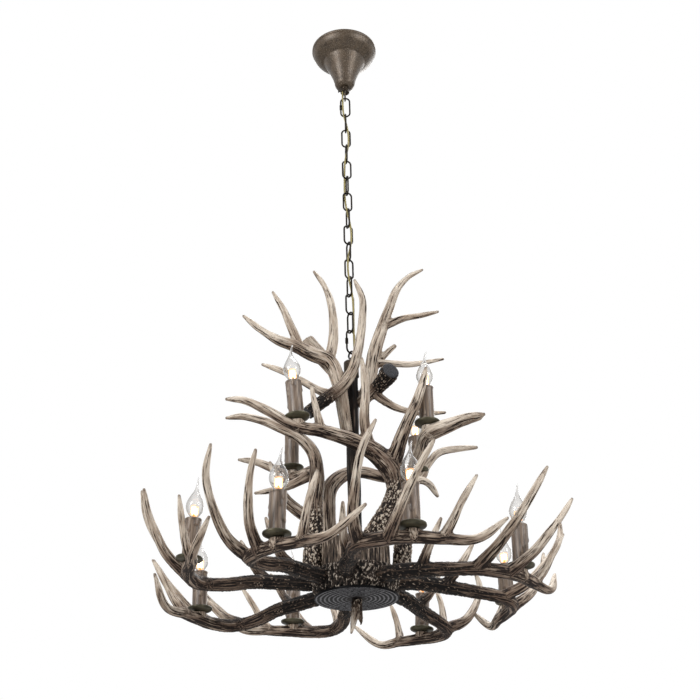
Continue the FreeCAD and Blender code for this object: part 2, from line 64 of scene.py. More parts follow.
# Heights of the main seams in millimetres, below the ceiling
CANOPY_LOW = -118.0
LOOP_LOW = -154.0
GATE_TOP = -177.3
CHAIN_TOP = -204.6
CHAIN_LOW = -791.66
GATE_LOW = -815.26
EYE_TOP = -838.56
CAP_TOP = -863.56
STEM_TOP = -898.56
DRUM_TOP = -1266.56
HUB_TOP = -1325.56
DISC_TOP = -1372.56
DISC_LOW = -1377.56

# How a tube tapers to a tip: the radius in millimetres below which it does, its bow, and its last small ring
TIP_RADIUS = 5.0
TIP_BOW = 1.8
TIP_RISE = 0.45
TIP_SHARE = 0.6

# How a horn is grown and carved: names in MM are millimetres, other lengths are metres
SCALE_MM = (5.0, 5.0, 9.5)
SCORE_MM = (4.5, 4.5, 70.0)
LUMP_MM = 34.0
HORN_VOXEL = 1.9 * MM
WEB_REACH = 9 * MM
WEB_TURNS = 14
# Reach within which the colour darkens in a fork between limbs, as painted shade
FORK_REACH = 14 * MM
LIMB_SHIFT = 0.37
TINE_SOOT = (0.01, 0.09)
PAD_RUN = 0.03
SAW_EDGE = (0.0004, 0.0022)
TIP_REACH = (-0.002, 0.007)
TIP_STAIN = 0.8
FULL_RADIUS = 8 * MM
LEAST_CUT = 0.15
AGED_RADII = (5 * MM, 16 * MM)
# Downward share of a normal over which the colour darkens on undersides, as painted shade
UNDERSIDE = (-0.1, 0.95)
CRUST_DEEP_MM = 1.6
PEARL_DEEP_MM = 2.0
GROOVE_DEEP_MM = 0.6
LUMP_DEEP_MM = 0.9
PLAIN_SINK = 0.4
PAD_BARE = 0.4


class Body(Enum):
    """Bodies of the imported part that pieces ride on."""

    CANOPY = "canopy"
    TOP_LINK = "top_link"
    CHAIN = "chain"
    LOW_LINK = "low_link"
    FIXTURE = "fixture"


class Slot(Enum):
    """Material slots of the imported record."""

    PAINT = "bronze_paint"
    CHAIN = "chain_bronze"
    FLEX = "flex_cover"
    BARK = "bark_resin"
    FLUTED = "fluted_resin"
    SAWN = "sawn_resin"
    HORN = "antler_resin"
    CUP = "cup_bronze"
    WAX = "sleeve_wax"
    GLASS = "bulb_glass"


def linear(colour: str) -> tuple[float, float, float, float]:
    """Turn an sRGB hex colour to linear.

    Args:
        colour: Hex value such as "#B8AA9A".

    Returns:
        Linear red, green, blue and an alpha of one.
    """
    parts = [int(colour[i:i + 2], 16) / 255.0 for i in (1, 3, 5)]
    red, green, blue = (c / 12.92 if c <= 0.04045 else ((c + 0.055) / 1.055) ** 2.4 for c in parts)
    return red, green, blue, 1.0


def feed(tree: NodeTree, node: Node, inputs: dict) -> None:
    """Set or link the inputs of a node.

    Args:
        tree: Node tree that holds the node.
        node: Node that takes the inputs.
        inputs: Socket name or number to a value, a hex colour, a socket, or a node for its result.
    """
    for name, value in inputs.items():
        if isinstance(value, Node):
            value = value.outputs[MIX_RESULT if value.bl_idname == "ShaderNodeMix" else 0]
        if isinstance(value, NodeSocket):
            tree.links.new(value, node.inputs[name])
        else:
            node.inputs[name].default_value = linear(value) if isinstance(value, str) else value


def add(tree: NodeTree, kind: str, inputs: dict | None = None, **settings: str | bool) -> Node:
    """Add one node with its settings and links.

    Args:
        tree: Node tree that takes the node.
        kind: Node type without its ShaderNode prefix.
        inputs: What its sockets take, as feed reads it.
        **settings: Fields of the node.

    Returns:
        The new node.
    """
    node = tree.nodes.new("ShaderNode" + kind)
    for name, value in settings.items():
        setattr(node, name, value)
    feed(tree, node, inputs or {})
    return node


def ramp(tree: NodeTree, source: Source, *stops: tuple[float, str]) -> Node:
    """Add a colour ramp.

    Args:
        tree: Node tree that takes the ramp.
        source: What the ramp reads.
        *stops: Place and hex colour of each stop.

    Returns:
        The ramp node.
    """
    node = add(tree, "ValToRGB", {"Fac": source})
    for index, (place, colour) in enumerate(stops):
        band = node.color_ramp.elements[index] if index < 2 else node.color_ramp.elements.new(place)
        band.position = place
        band.color = linear(colour)
    return node


def mix(tree: NodeTree, mask: Source, below: Source, above: Source) -> Node:
    """Lay one colour over another.

    Args:
        tree: Node tree that takes the mix.
        mask: How much of the upper colour shows.
        below: Lower colour.
        above: Upper colour.

    Returns:
        The mix node.
    """
    return add(tree, "Mix", {MIX_FACTOR: mask, MIX_BELOW: below, MIX_ABOVE: above}, data_type="RGBA")


def span(tree: NodeTree, source: Source, low: float, high: float, start: float = 0.0,
         end: float = 1.0) -> Node:
    """Map one range of a value to another and hold it at both ends.

    Args:
        tree: Node tree that takes the range.
        source: Value that is mapped.
        low: Result at the start.
        high: Result at the end.
        start: Where the value's range starts.
        end: Where it ends.

    Returns:
        The range node.
    """
    return add(tree, "MapRange", {"Value": source, "From Min": start, "From Max": end, "To Min": low,
                                  "To Max": high})


def join(tree: NodeTree, operation: str, first: Source, second: Source) -> Node:
    """Join two values by one operation, named as Blender's maths node names it.

    Args:
        tree: Node tree that takes the node.
        operation: Name of the operation.
        first: First value.
        second: Second value.

    Returns:
        The maths node.
    """
    return add(tree, "Math", {0: first, 1: second}, operation=operation)


def bump(tree: NodeTree, height: Source, strength: float, deep_mm: float, sunk: bool = False) -> Node:
    """Add fine relief.

    Args:
        tree: Node tree that takes the relief.
        height: Its height.
        strength: How strongly it shows.
        deep_mm: Its depth in millimetres.
        sunk: Whether high values lie deep.

    Returns:
        The bump node.
    """
    return add(tree, "Bump", {"Strength": strength, "Distance": deep_mm * MM, "Height": height}, invert=sunk)


def grain(tree: NodeTree, sizes: Point, detail: float, rough: float = 0.5,
          vector: NodeSocket | None = None) -> Node:
    """Add noise of a given grain.

    Args:
        tree: Node tree that takes the noise.
        sizes: Breadth of the grain along X, Y and Z in millimetres.
        detail: Octaves of finer grain.
        rough: Weight of the finer grain.
        vector: What the noise follows, or None for the piece's own place.

    Returns:
        The noise node.
    """
    place = add(tree, "TexCoord").outputs["Object"] if vector is None else vector
    spread = add(tree, "Mapping", {"Vector": place, "Scale": tuple(1 / (size * MM) for size in sizes)})
    return add(tree, "TexNoise", {"Vector": spread, "Scale": 1.0, "Detail": detail, "Roughness": rough})


class Finish:
    """A finish whose material is made once and shared by its pieces."""

    name: str

    def material(self) -> Material:
        """Give the finish's material, made on first use.

        Returns:
            The material with its nodes.
        """
        found = bpy.data.materials.get(self.name)
        if found:
            return found
        made = bpy.data.materials.new(self.name)
        made.use_nodes = True
        tree = made.node_tree
        tree.nodes.clear()
        shader = add(tree, "BsdfPrincipled")
        add(tree, "OutputMaterial", {"Surface": shader})
        feed(tree, shader, self.paint(tree))
        return made

    def paint(self, tree: NodeTree) -> dict:
        """Draw the patterns and give what the shader takes; each finish has its own.

        Args:
            tree: Node tree of the material.

        Returns:
            What the shader's sockets take.
        """
        raise NotImplementedError


@dataclass(frozen=True)
class SpeckledPaint(Finish):
    """Brown bronze paint sprayed on spun steel: a satin skin with fine paler specks."""

    name: str = "bronze_paint_sprayed_on_spun_steel"
    ground: str = "#372C21"
    cloud: str = "#493B2C"
    speck: str = "#877B6C"
    cloud_mm: float = 14.0
    speck_mm: float = 1.3

    def paint(self, tree: NodeTree) -> dict:
        """Lay cloudy brown, then specks, with a slight orange peel.

        Args:
            tree: Node tree of the material.

        Returns:
            What the shader's sockets take.
        """
        cloud = grain(tree, (self.cloud_mm,) * 3, 3.0)
        ground = ramp(tree, cloud, (0.35, self.ground), (0.65, self.cloud))
        speck = grain(tree, (self.speck_mm,) * 3, 2.0)
        mask = ramp(tree, speck, (0.56, BLACK), (0.68, WHITE))
        return {"Base Color": mix(tree, mask, ground, self.speck),
                "Roughness": span(tree, cloud, 0.34, 0.5),
                "Normal": bump(tree, speck, 0.25, 0.3),
                "Metallic": 0.35}


@dataclass(frozen=True)
class AgedBronze(Finish):
    """Bronzed steel, tumbled: dark in the hollows with worn brassy edges."""

    name: str
    dark: str
    worn: str
    grain_mm: float
    shine: float = 0.75

    def paint(self, tree: NodeTree) -> dict:
        """Mix dark patina and worn metal by a patchy mask.

        Args:
            tree: Node tree of the material.

        Returns:
            What the shader's sockets take.
        """
        patch = grain(tree, (self.grain_mm,) * 3, 5.0, 0.6)
        return {"Base Color": ramp(tree, patch, (0.38, self.dark), (0.7, self.worn)),
                "Roughness": span(tree, patch, 0.5, 0.28),
                "Normal": bump(tree, patch, 0.2, 0.25),
                "Metallic": self.shine, "Specular IOR Level": 0.4 * self.shine}


@dataclass(frozen=True)
class ZincPlate(Finish):
    """Zinc-plated steel, rolled: grey with a faint lengthwise brush."""

    name: str = "zinc_plated_rolled_steel"
    low: str = "#8B8E90"
    high: str = "#B4B7B8"
    brush_mm: Point = (40.0, 1.0, 1.0)

    def paint(self, tree: NodeTree) -> dict:
        """Draw roll marks a millimetre apart, long in X.

        Args:
            tree: Node tree of the material.

        Returns:
            What the shader's sockets take.
        """
        marks = grain(tree, self.brush_mm, 3.0)
        return {"Base Color": ramp(tree, marks, (0.3, self.low), (0.7, self.high)),
                "Roughness": span(tree, marks, 0.28, 0.42), "Metallic": 0.9}


@dataclass(frozen=True)
class GoldSleeve(Finish):
    """Gold-olive rayon braid over the lead: a soft sheen broken by the crossing threads."""

    name: str = "gold_rayon_braided_sleeve"
    valley: str = "#51481F"
    thread: str = "#988A4E"
    thread_mm: float = 1.1

    def paint(self, tree: NodeTree) -> dict:
        """Cross two diagonal bands; drawn a little coarse so that the braid shows.

        Args:
            tree: Node tree of the material.

        Returns:
            What the shader's sockets take.
        """
        place = add(tree, "TexCoord").outputs["Object"]
        heights = []
        for lean in (0.7, -0.7):
            turned = add(tree, "Mapping", {"Vector": place, "Rotation": (0.0, lean, 0.0)})
            wave = add(tree, "TexWave", {"Vector": turned, "Scale": 0.314 / (self.thread_mm * MM),
                                         "Distortion": 0.4}, bands_direction="Z")
            heights.append(wave.outputs["Fac"])
        braid = join(tree, "MAXIMUM", heights[0], heights[1])
        return {"Base Color": ramp(tree, braid, (0.3, self.valley), (0.85, self.thread)),
                "Normal": bump(tree, braid, 0.5, 0.3),
                "Roughness": 0.5, "Sheen Weight": 0.3}


@dataclass(frozen=True)
class CastHorn(Finish):
    """Polyurethane resin cast from real horn and coloured with stains by hand: cream, brown grooves, black
    crusted bases, and painted shade under the limbs and in the forks.
    """

    name: str = "resin_cast_horn_stained_and_shaded"
    cream: str = "#D3C7B8"
    tan: str = "#A09080"
    stain_and_shade: str = "#5F4E43"
    groove: str = "#1F1713"
    brown: str = "#5A4A3E"
    black: str = "#0E0B0A"
    crust: str = "#5B4C41"
    fleck: str = "#BDB1A2"
    slate: str = "#4B4C50"
    # Breadth, length and detail of the hairs, lines, bands, chips and pores
    grains_mm: tuple[Point, ...] = ((1.4, 26.0, 2.0), (3.1, 46.0, 3.0), (11.0, 90.0, 3.0), (2.4, 6.0, 3.0),
                                    (1.5, 2.6, 2.0))

    def paint(self, tree: NodeTree) -> dict:
        """Run fine dark lines along each limb over a ground darkened by the casting's staining and by painted
        shade under the limbs and in the forks, then blacken and crust the bases.

        Args:
            tree: Node tree of the material.

        Returns:
            What the shader's sockets take.
        """
        limb = add(tree, "Attribute", attribute_name="limb").outputs["Vector"]
        burnt, stained_and_shaded, relief, sawn, tip = (add(tree, "Attribute", attribute_name=key).outputs["Fac"]
                                             for key in ("burnt", "stained_and_shaded", "relief", "sawn", "tip"))
        hair, line, band, chip, pore = (grain(tree, (across, across, run), detail, 0.62, limb)
                                        for across, run, detail in self.grains_mm)
        # Painted shade: one mark carries the casting's staining and the shade under the limbs and in the
        # forks, and darkens the ground by it.
        thin = span(tree, stained_and_shaded, 0.08, -0.22)
        washed_and_shaded = join(tree, "ADD", band, thin)
        smoke = span(tree, line, -0.25, 0.25, 0.3, 0.7)
        soot = join(tree, "ADD", burnt, smoke)
        # The same mark of staining and painted shade deepens the dark lines, which the masks below lay in
        # dark brown.
        wet_and_shaded = join(tree, "MULTIPLY", stained_and_shaded, 0.2)
        deep = join(tree, "ADD", line, wet_and_shaded)
        chipped = span(tree, chip, -0.25, 0.25, 0.3, 0.7)
        peak = join(tree, "ADD", relief, chipped)
        crusted = ramp(tree, peak, (0.44, self.black), (0.66, self.crust), (0.84, self.fleck))
        pores = ramp(tree, pore, (0.4, self.black), (0.62, self.slate))
        toast, hairs, soak_and_shade, cut, char = (
            ramp(tree, source, (low, BLACK), (high, WHITE))
            for source, low, high in ((soot, 0.1, 0.75), (hair, 0.57, 0.7), (deep, 0.54, 0.7),
                                      (deep, 0.625, 0.675), (soot, 0.6, 0.95)))
        colour = ramp(tree, washed_and_shaded, (0.22, self.stain_and_shade), (0.42, self.tan), (0.62, self.cream))
        for mask, layer in ((toast, self.brown), (hairs, self.stain_and_shade), (soak_and_shade, self.stain_and_shade), (cut, self.groove),
                            (tip, self.stain_and_shade), (char, crusted), (sawn, pores)):
            colour = mix(tree, mask, colour, layer)
        return {"Base Color": colour, "Specular IOR Level": 0.12,
                "Roughness": span(tree, deep, 0.45, 0.68, 0.3, 0.8),
                "Normal": bump(tree, deep, 0.8, 1.2, sunk=True)}


@dataclass(frozen=True)
class CastBark(Finish):
    """Resin cast from bark and stained: near-black furrows, brown ridges and curled dry-brushed flecks."""

    name: str
    furrow: str
    ridge: str
    fleck: str
    curl_mm: tuple[float, float]
    fleck_from: float

    def paint(self, tree: NodeTree) -> dict:
        """Colour by the modelled relief, and fleck the ridges where a dry brush would touch.

        Args:
            tree: Node tree of the material.

        Returns:
            What the shader's sockets take.
        """
        relief = add(tree, "Attribute", attribute_name="relief").outputs["Fac"]
        wide, tall = self.curl_mm
        curl = grain(tree, (wide, wide, tall), 3.0, 0.6)
        wear = span(tree, curl, -0.35, 0.35, 0.3, 0.7)
        mixed = join(tree, "ADD", relief, wear)
        stops = ((0.3, self.furrow), (self.fleck_from - 0.14, self.ridge), (self.fleck_from, self.fleck))
        return {"Base Color": ramp(tree, mixed, *stops),
                "Roughness": span(tree, mixed, 0.62, 0.42),
                "Normal": bump(tree, mixed, 0.8, 1.5),
                "Specular IOR Level": 0.1}


@dataclass(frozen=True)
class SawnResin(Finish):
    """Resin cast from a sawn log end: slate grey with zigzag year rings and a dark heart."""

    name: str = "resin_cast_sawn_log_end"
    line: str = "#050506"
    wood: str = "#656467"
    heart: str = "#1C1817"
    ring_mm: float = 8.2
    heart_mm: tuple[float, float] = (12.0, 30.0)
    shake_mm: float = 3.5
    sway_mm: float = 2.4

    def paint(self, tree: NodeTree) -> dict:
        """Draw the year rings about the stem's line, shaken by a fine zigzag, and darken the heart.

        Args:
            tree: Node tree of the material.

        Returns:
            What the shader's sockets take.
        """
        place = add(tree, "TexCoord").outputs["Object"]
        shake = grain(tree, (self.shake_mm,) * 3, 2.0)
        flat = add(tree, "Mapping", {"Vector": place, "Scale": (1.0, 1.0, 0.0)})
        reach = add(tree, "VectorMath", {0: flat}, operation="LENGTH").outputs["Value"]
        sway = span(tree, shake, -self.sway_mm * MM, self.sway_mm * MM)
        out = join(tree, "ADD", reach, sway)
        half = self.ring_mm / 2 * MM
        fold = join(tree, "PINGPONG", out, half)
        ridge = span(tree, fold, 0.0, 1.0, 0.0, half)
        rings = ramp(tree, ridge, (0.5, self.line), (0.8, self.wood))
        near, far = (size * MM for size in self.heart_mm)
        core = span(tree, out, 1.0, 0.0, near, far)
        return {"Base Color": mix(tree, core, rings, self.heart),
                "Roughness": span(tree, shake, 0.45, 0.65),
                "Normal": bump(tree, ridge, 0.7, 1.0),
                "Specular IOR Level": 0.08}


@dataclass(frozen=True)
class WaxSleeve(Finish):
    """Brown wax-look resin, dipped: satin with vertical drip streaks and paler worn runs."""

    name: str = "wax_look_resin_dipped"
    dark: str = "#35291F"
    brown: str = "#6B5A4C"
    pale: str = "#8F7E6C"
    streak_mm: Point = (3.5, 3.5, 45.0)

    def paint(self, tree: NodeTree) -> dict:
        """Stretch the streaks along the candle and darken the edges of the drips with painted shade.

        Args:
            tree: Node tree of the material.

        Returns:
            What the shader's sockets take.
        """
        relief = add(tree, "Attribute", attribute_name="relief").outputs["Fac"]
        streak = grain(tree, self.streak_mm, 4.0)
        colour = ramp(tree, streak, (0.32, self.dark), (0.52, self.brown), (0.72, self.pale))
        # Painted shade: the flanks of each drip, where its relief starts to rise, darken toward the dark
        # brown.
        edge = ramp(tree, relief, (0.02, "#606060"), (0.12, WHITE), (0.4, BLACK))
        shaded = mix(tree, edge, colour, self.dark)
        return {"Base Color": mix(tree, 0.7, colour, shaded),
                "Normal": bump(tree, streak, 0.25, 0.5),
                "Roughness": 0.42}


@dataclass(frozen=True)
class FlameGlass(Finish):
    """Clear soda glass, blown and drawn to a tail: clear where it faces the eye, grey towards its edges."""

    name: str = "clear_soda_glass_blown"
    clear: str = "#F1F0EF"
    wall: str = "#C4C1BD"
    edge: str = "#5E5B57"

    def paint(self, tree: NodeTree) -> dict:
        """Tint the glass where the eye looks along its wall, as a longer way through glass does.

        Args:
            tree: Node tree of the material.

        Returns:
            What the shader's sockets take.
        """
        grazing = add(tree, "LayerWeight", {"Blend": 0.5}).outputs["Facing"]
        stops = ((0.2, self.clear), (0.62, self.wall), (0.9, self.edge))
        return {"Base Color": ramp(tree, grazing, *stops), "Transmission Weight": 1.0,
                "Roughness": 0.02, "IOR": 1.48}


@dataclass(frozen=True)
class LitTungsten(Finish):
    """Coiled tungsten at burning heat: white at the core, orange on the outer turns."""

    name: str = "tungsten_coil_lit"
    hot: str = "#FFF3DC"
    ember: str = "#F8C48E"

    def paint(self, tree: NodeTree) -> dict:
        """Glow by the coil's own heat mark.

        Args:
            tree: Node tree of the material.

        Returns:
            What the shader's sockets take.
        """
        heat = add(tree, "Attribute", attribute_name="glow").outputs["Fac"]
        colour = ramp(tree, heat, (0.3, self.ember), (0.7, self.hot))
        return {"Base Color": colour, "Emission Color": colour,
                "Emission Strength": span(tree, heat, 0.9, 6.0)}


@dataclass(frozen=True)
class LitStem(Finish):
    """Pressed glass stem that holds the coil: amber where the light falls on it."""

    name: str = "pressed_glass_stem_lit"
    amber: str = "#D98F45"
    pale: str = "#F7CF97"
    seam_mm: float = 3.0

    def paint(self, tree: NodeTree) -> dict:
        """Warm the stem unevenly, as pressed glass passes light.

        Args:
            tree: Node tree of the material.

        Returns:
            What the shader's sockets take.
        """
        seam = grain(tree, (self.seam_mm,) * 3, 1.0)
        colour = ramp(tree, seam, (0.35, self.amber), (0.65, self.pale))
        return {"Base Color": colour, "Emission Color": colour, "Emission Strength": 0.6, "Roughness": 0.2}


@dataclass(frozen=True)
class FloorPaint(Finish):
    """Matt pale floor paint, rolled: almost white with a faint mottle."""

    name: str = "matt_floor_paint_rolled"
    low: str = "#E6E6E5"
    high: str = "#EDEDEC"
    mottle_mm: float = 400.0
    lift: float = 0.62

    def paint(self, tree: NodeTree) -> dict:
        """Mottle the white very slightly and keep it pale to the eye out to the far edge.

        Args:
            tree: Node tree of the material.

        Returns:
            What the shader's sockets take.
        """
        cloud = grain(tree, (self.mottle_mm,) * 3, 2.0)
        colour = ramp(tree, cloud, (0.3, self.low), (0.7, self.high))
        path = add(tree, "LightPath").outputs
        seen = join(tree, "MAXIMUM", path["Is Camera Ray"], path["Is Transmission Ray"])
        return {"Base Color": colour, "Emission Color": colour, "Roughness": 0.85,
                "Emission Strength": join(tree, "MULTIPLY", seen, self.lift)}


PAINT = SpeckledPaint()
CHAIN_BRONZE = AgedBronze("bronzed_steel_tumbled", dark="#0B0908", worn="#332C24", grain_mm=5.0, shine=0.25)
DARK_BRONZE = AgedBronze("bronzed_steel_dark", dark="#231C17", worn="#554A3E", grain_mm=2.5)
CUP_BRONZE = AgedBronze("olive_bronze_turned", dark="#3A372C", worn="#555040", grain_mm=16.0, shine=0.4)
BRASS = AgedBronze("nickelled_brass_pressed", dark="#7A6A4C", worn="#B8A678", grain_mm=3.0)
ZINC = ZincPlate()
SLEEVE = GoldSleeve()
HORN = CastHorn()
STEM_BARK = CastBark("resin_cast_stem_bark", furrow="#0D0B0A", ridge="#2A221D", fleck="#5E5147",
                     curl_mm=(4.0, 30.0), fleck_from=0.95)
HUB_BARK = CastBark("resin_cast_hub_bark", furrow="#0B0A09", ridge="#3A312B", fleck="#A79C90",
                    curl_mm=(3.0, 5.5), fleck_from=0.84)
DRUM_BARK = CastBark("resin_cast_fluted_wood", furrow="#0F0C0A", ridge="#62554A", fleck="#A39486",
                     curl_mm=(3.0, 22.0), fleck_from=0.84)
SAWN = SawnResin()
WAX = WaxSleeve()
GLASS = FlameGlass()
TUNGSTEN = LitTungsten()
STEM_GLASS = LitStem()
FLOOR = FloorPaint()


@dataclass(frozen=True)
class Line:
    """Samples along one limb: centre, radius, frame and run from its root, in metres."""

    points: np.ndarray
    radii: np.ndarray
    along: np.ndarray
    across: np.ndarray
    up: np.ndarray
    run: np.ndarray


def trace(stations: list[Station], step: float) -> Line:
    """Sample a smooth line through stations.

    Args:
        stations: x, y, z and radius of each station in millimetres.
        step: About how far apart the samples are, in millimetres.

    Returns:
        The samples in metres; a last stretch that ends thin tapers late, as a tip does.
    """
    knots = [Vector(s[:3]) for s in stations]
    ways = ways_of(knots)
    points, radii = [knots[0]], [stations[0][3]]
    for i in range(len(knots) - 1):
        reach = (knots[i + 1] - knots[i]).length
        count = max(2, round(reach / step))
        points += interpolate_bezier(knots[i], knots[i] + ways[i] * reach / 3,
                                     knots[i + 1] - ways[i + 1] * reach / 3, knots[i + 1], count + 1)[1:]
        bow = TIP_BOW if i == len(knots) - 2 and stations[-1][3] < TIP_RADIUS else 1.0
        radii += [stations[i][3] + (stations[i + 1][3] - stations[i][3]) * (k / count) ** bow
                  for k in range(1, count + 1)]
    along = ways_of(points)
    across = [along[0].cross(Vector((0.3, 0.2, 1.0))).normalized()]
    for way in along[1:]:
        across.append((across[-1] - way * across[-1].dot(way)).normalized())
    run = [0.0]
    for a, b in zip(points, points[1:]):
        run.append(run[-1] + (b - a).length)
    up = [way.cross(side) for way, side in zip(along, across)]
    return Line(np.array(points) * MM, np.array(radii) * MM, np.array(along), np.array(across), np.array(up),
                np.array(run) * MM)


def ways_of(points: list[Vector]) -> list[Vector]:
    """Give the way of a line at each of its points, from the neighbours on both sides."""
    last = len(points) - 1
    return [(points[min(i + 1, last)] - points[max(i - 1, 0)]).normalized() for i in range(last + 1)]


def kin(items: list, kind: type) -> list:
    """Pick the items of one kind."""
    return [item for item in items if isinstance(item, kind)]


def ring(bm: BMesh, sides: int, radius: float, place: Matrix) -> list[BMEdge]:
    """Add an open circle.

    Args:
        bm: Mesh that takes the circle.
        sides: Points of the circle.
        radius: Its radius in metres.
        place: Where it goes.

    Returns:
        Its edges, in the same order in every run.
    """
    made = bmesh.ops.create_circle(bm, segments=sides, radius=radius, cap_ends=False, matrix=place)
    return list(dict.fromkeys(edge for vert in made["verts"] for edge in vert.link_edges))


def clean(bm: BMesh, gap: float = 1e-6) -> None:
    """Merge points that meet within a gap in metres and turn the normals outwards."""
    bmesh.ops.remove_doubles(bm, verts=bm.verts[:], dist=gap)
    bmesh.ops.recalc_face_normals(bm, faces=bm.faces[:])


def tube(bm: BMesh, line: Line, sides: int, blunt: bool = True) -> None:
    """Grow a closed tube along a line, ring by ring from a circle.

    Args:
        bm: Mesh that takes the tube.
        line: Samples to follow.
        sides: Points of each ring.
        blunt: Whether the far end gets a smaller ring that rounds it.
    """
    frames = []
    for point, radius, along, across, up in zip(line.points, line.radii, line.along, line.across, line.up):
        turn = Matrix((across, up, along)).transposed().to_4x4()
        frames.append(Matrix.Translation(point) @ turn @ Matrix.Scale(radius, 4))
    if blunt:
        tip = Matrix.Translation(Vector(line.along[-1]) * line.radii[-1] * TIP_RISE) @ frames[-1]
        frames.append(tip @ Matrix.Scale(TIP_SHARE, 4))
    edges = ring(bm, sides, 1.0, frames[0])
    bmesh.ops.edgeloop_fill(bm, edges=edges)
    for before, after in zip(frames, frames[1:]):
        grown = bmesh.ops.extrude_edge_only(bm, edges=edges)["geom"]
        edges = kin(grown, BMEdge)
        bmesh.ops.transform(bm, matrix=after @ before.inverted(), verts=kin(grown, BMVert))
    bmesh.ops.edgeloop_fill(bm, edges=edges)
    bmesh.ops.recalc_face_normals(bm, faces=bm.faces[:])


def spun(outline: Outline, steps: int, lift: float = 0.0, closed: bool = False) -> BMesh:
    """Spin an outline round the upright axis.

    Args:
        outline: Radius and height of each point in millimetres.
        steps: Steps of the full turn.
        lift: Height that the outline's heights count from, in millimetres.
        closed: Whether the outline's last point joins its first.

    Returns:
        The turned mesh, merged, with its normals outwards.
    """
    bm = bmesh.new()
    verts = [bm.verts.new((radius * MM, 0.0, (lift + height) * MM)) for radius, height in outline]
    pairs = list(zip(verts, verts[1:])) + ([(verts[-1], verts[0])] if closed else [])
    edges = [bm.edges.new(pair) for pair in pairs]
    bmesh.ops.spin(bm, geom=verts + edges, cent=(0, 0, 0), axis=(0, 0, 1), angle=2 * math.pi, steps=steps,
                   use_merge=True)
    clean(bm)
    return bm


def hoop(radius: float, wire: float, steps: int) -> BMesh:
    """Bend a round loop of wire that stands flat to Y.

    Args:
        radius: Radius of its middle line in millimetres.
        wire: Wire thickness in millimetres.
        steps: Steps of the full turn.

    Returns:
        The loop about its own middle.
    """
    bm = bmesh.new()
    edges = ring(bm, 14, wire / 2 * MM, Matrix.Translation((0, radius * MM, 0)))
    bmesh.ops.spin(bm, geom=edges, cent=(0, 0, 0), axis=(1, 0, 0), angle=2 * math.pi, steps=steps,
                   use_merge=True)
    clean(bm)
    return bm


def link_wire(bm: BMesh, length: float, width: float, wire: float, place: Matrix) -> None:
    """Bend one oval link from a circle of wire.

    Args:
        bm: Mesh that takes the link.
        length: Outer length in millimetres.
        width: Outer width in millimetres.
        wire: Wire thickness in millimetres.
        place: Where the link's middle goes; it stands flat to X.
    """
    bend, half = (width - wire) / 2 * MM, (length - width) / 2 * MM
    own = bmesh.new()
    first = ring(own, 12, wire / 2 * MM, Matrix.Translation((bend, 0, half)))
    over = bmesh.ops.spin(own, geom=first, cent=(0, 0, half), axis=(0, 1, 0), angle=-math.pi, steps=14)
    down = bmesh.ops.extrude_edge_only(own, edges=kin(over["geom_last"], BMEdge))["geom"]
    bmesh.ops.translate(own, verts=kin(down, BMVert), vec=(0, 0, -2 * half))
    under = bmesh.ops.spin(own, geom=kin(down, BMEdge), cent=(0, 0, -half), axis=(0, 1, 0), angle=-math.pi,
                           steps=14)
    bmesh.ops.bridge_loops(own, edges=kin(under["geom_last"], BMEdge) + first)
    clean(own, 1e-7)
    pour(own, bm, place)


def pour(part: BMesh, whole: BMesh, place: Matrix | None = None) -> None:
    """Add one mesh to another and free it.

    Args:
        part: Mesh that is added.
        whole: Mesh that takes it.
        place: Where the part goes, or None to leave it.
    """
    if place is not None:
        bmesh.ops.transform(part, matrix=place, verts=part.verts[:])
    held = meshed("held", part)
    whole.from_mesh(held)
    bpy.data.meshes.remove(held)


def meshed(name: str, bm: BMesh) -> Mesh:
    """Keep a bmesh as a mesh and free it.

    Args:
        name: Name of the mesh.
        bm: What it holds.

    Returns:
        The mesh.
    """
    mesh = bpy.data.meshes.new(name)
    bm.to_mesh(mesh)
    bm.free()
    return mesh


def stand(name: str, data: ID) -> Object:
    """Put a mesh, curve, lamp or camera in the scene.

    Args:
        name: Name of the object.
        data: What it shows.

    Returns:
        The object.
    """
    made = bpy.data.objects.new(name, data)
    bpy.context.scene.collection.objects.link(made)
    return made


def settle(name: str, shape: BMesh | Mesh, body: Body | str, node: str, slot: Slot, *finishes: Finish,
           sharp: float = 40.0) -> None:
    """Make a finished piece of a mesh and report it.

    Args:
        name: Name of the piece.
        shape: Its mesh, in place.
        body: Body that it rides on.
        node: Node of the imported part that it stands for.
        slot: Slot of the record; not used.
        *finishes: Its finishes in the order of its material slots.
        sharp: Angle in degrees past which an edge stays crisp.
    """
    mesh = meshed(name, shape) if isinstance(shape, BMesh) else shape
    mesh.name = name
    mesh.shade_smooth()
    mesh.set_sharp_from_angle(angle=math.radians(sharp))
    for finish in finishes:
        mesh.materials.append(finish.material())
    piece = stand(name, mesh)
    carrier = body.value if isinstance(body, Body) else body
    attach(piece, carrier)
    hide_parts(node)
    LOG.info("%s rides on %s, %d faces", name, carrier, len(mesh.polygons))


def mark(mesh: Mesh, name: str, values: np.ndarray) -> None:
    """Store one number or vector for each point of a mesh.

    Args:
        mesh: Mesh that takes the attribute.
        name: Name that a material reads.
        values: One value, or three, for each point.
    """
    kind, field = ("FLOAT_VECTOR", "vector") if values.ndim == 2 else ("FLOAT", "value")
    mesh.attributes.new(name, kind, "POINT").data.foreach_set(field, values.astype(np.float32).ravel())


def points_of(mesh: Mesh, field: str = "co") -> np.ndarray:
    """Read a vector of every point of a mesh.

    Args:
        mesh: Mesh to read.
        field: "co" for places, "normal" for normals.

    Returns:
        One row of three numbers for each point.
    """
    values = np.zeros(len(mesh.vertices) * 3, np.float32)
    mesh.vertices.foreach_get(field, values)
    return values.reshape(-1, 3).astype(float)


def move_points(mesh: Mesh, places: np.ndarray) -> None:
    """Set the place of every point of a mesh."""
    mesh.vertices.foreach_set("co", places.astype(np.float32).ravel())


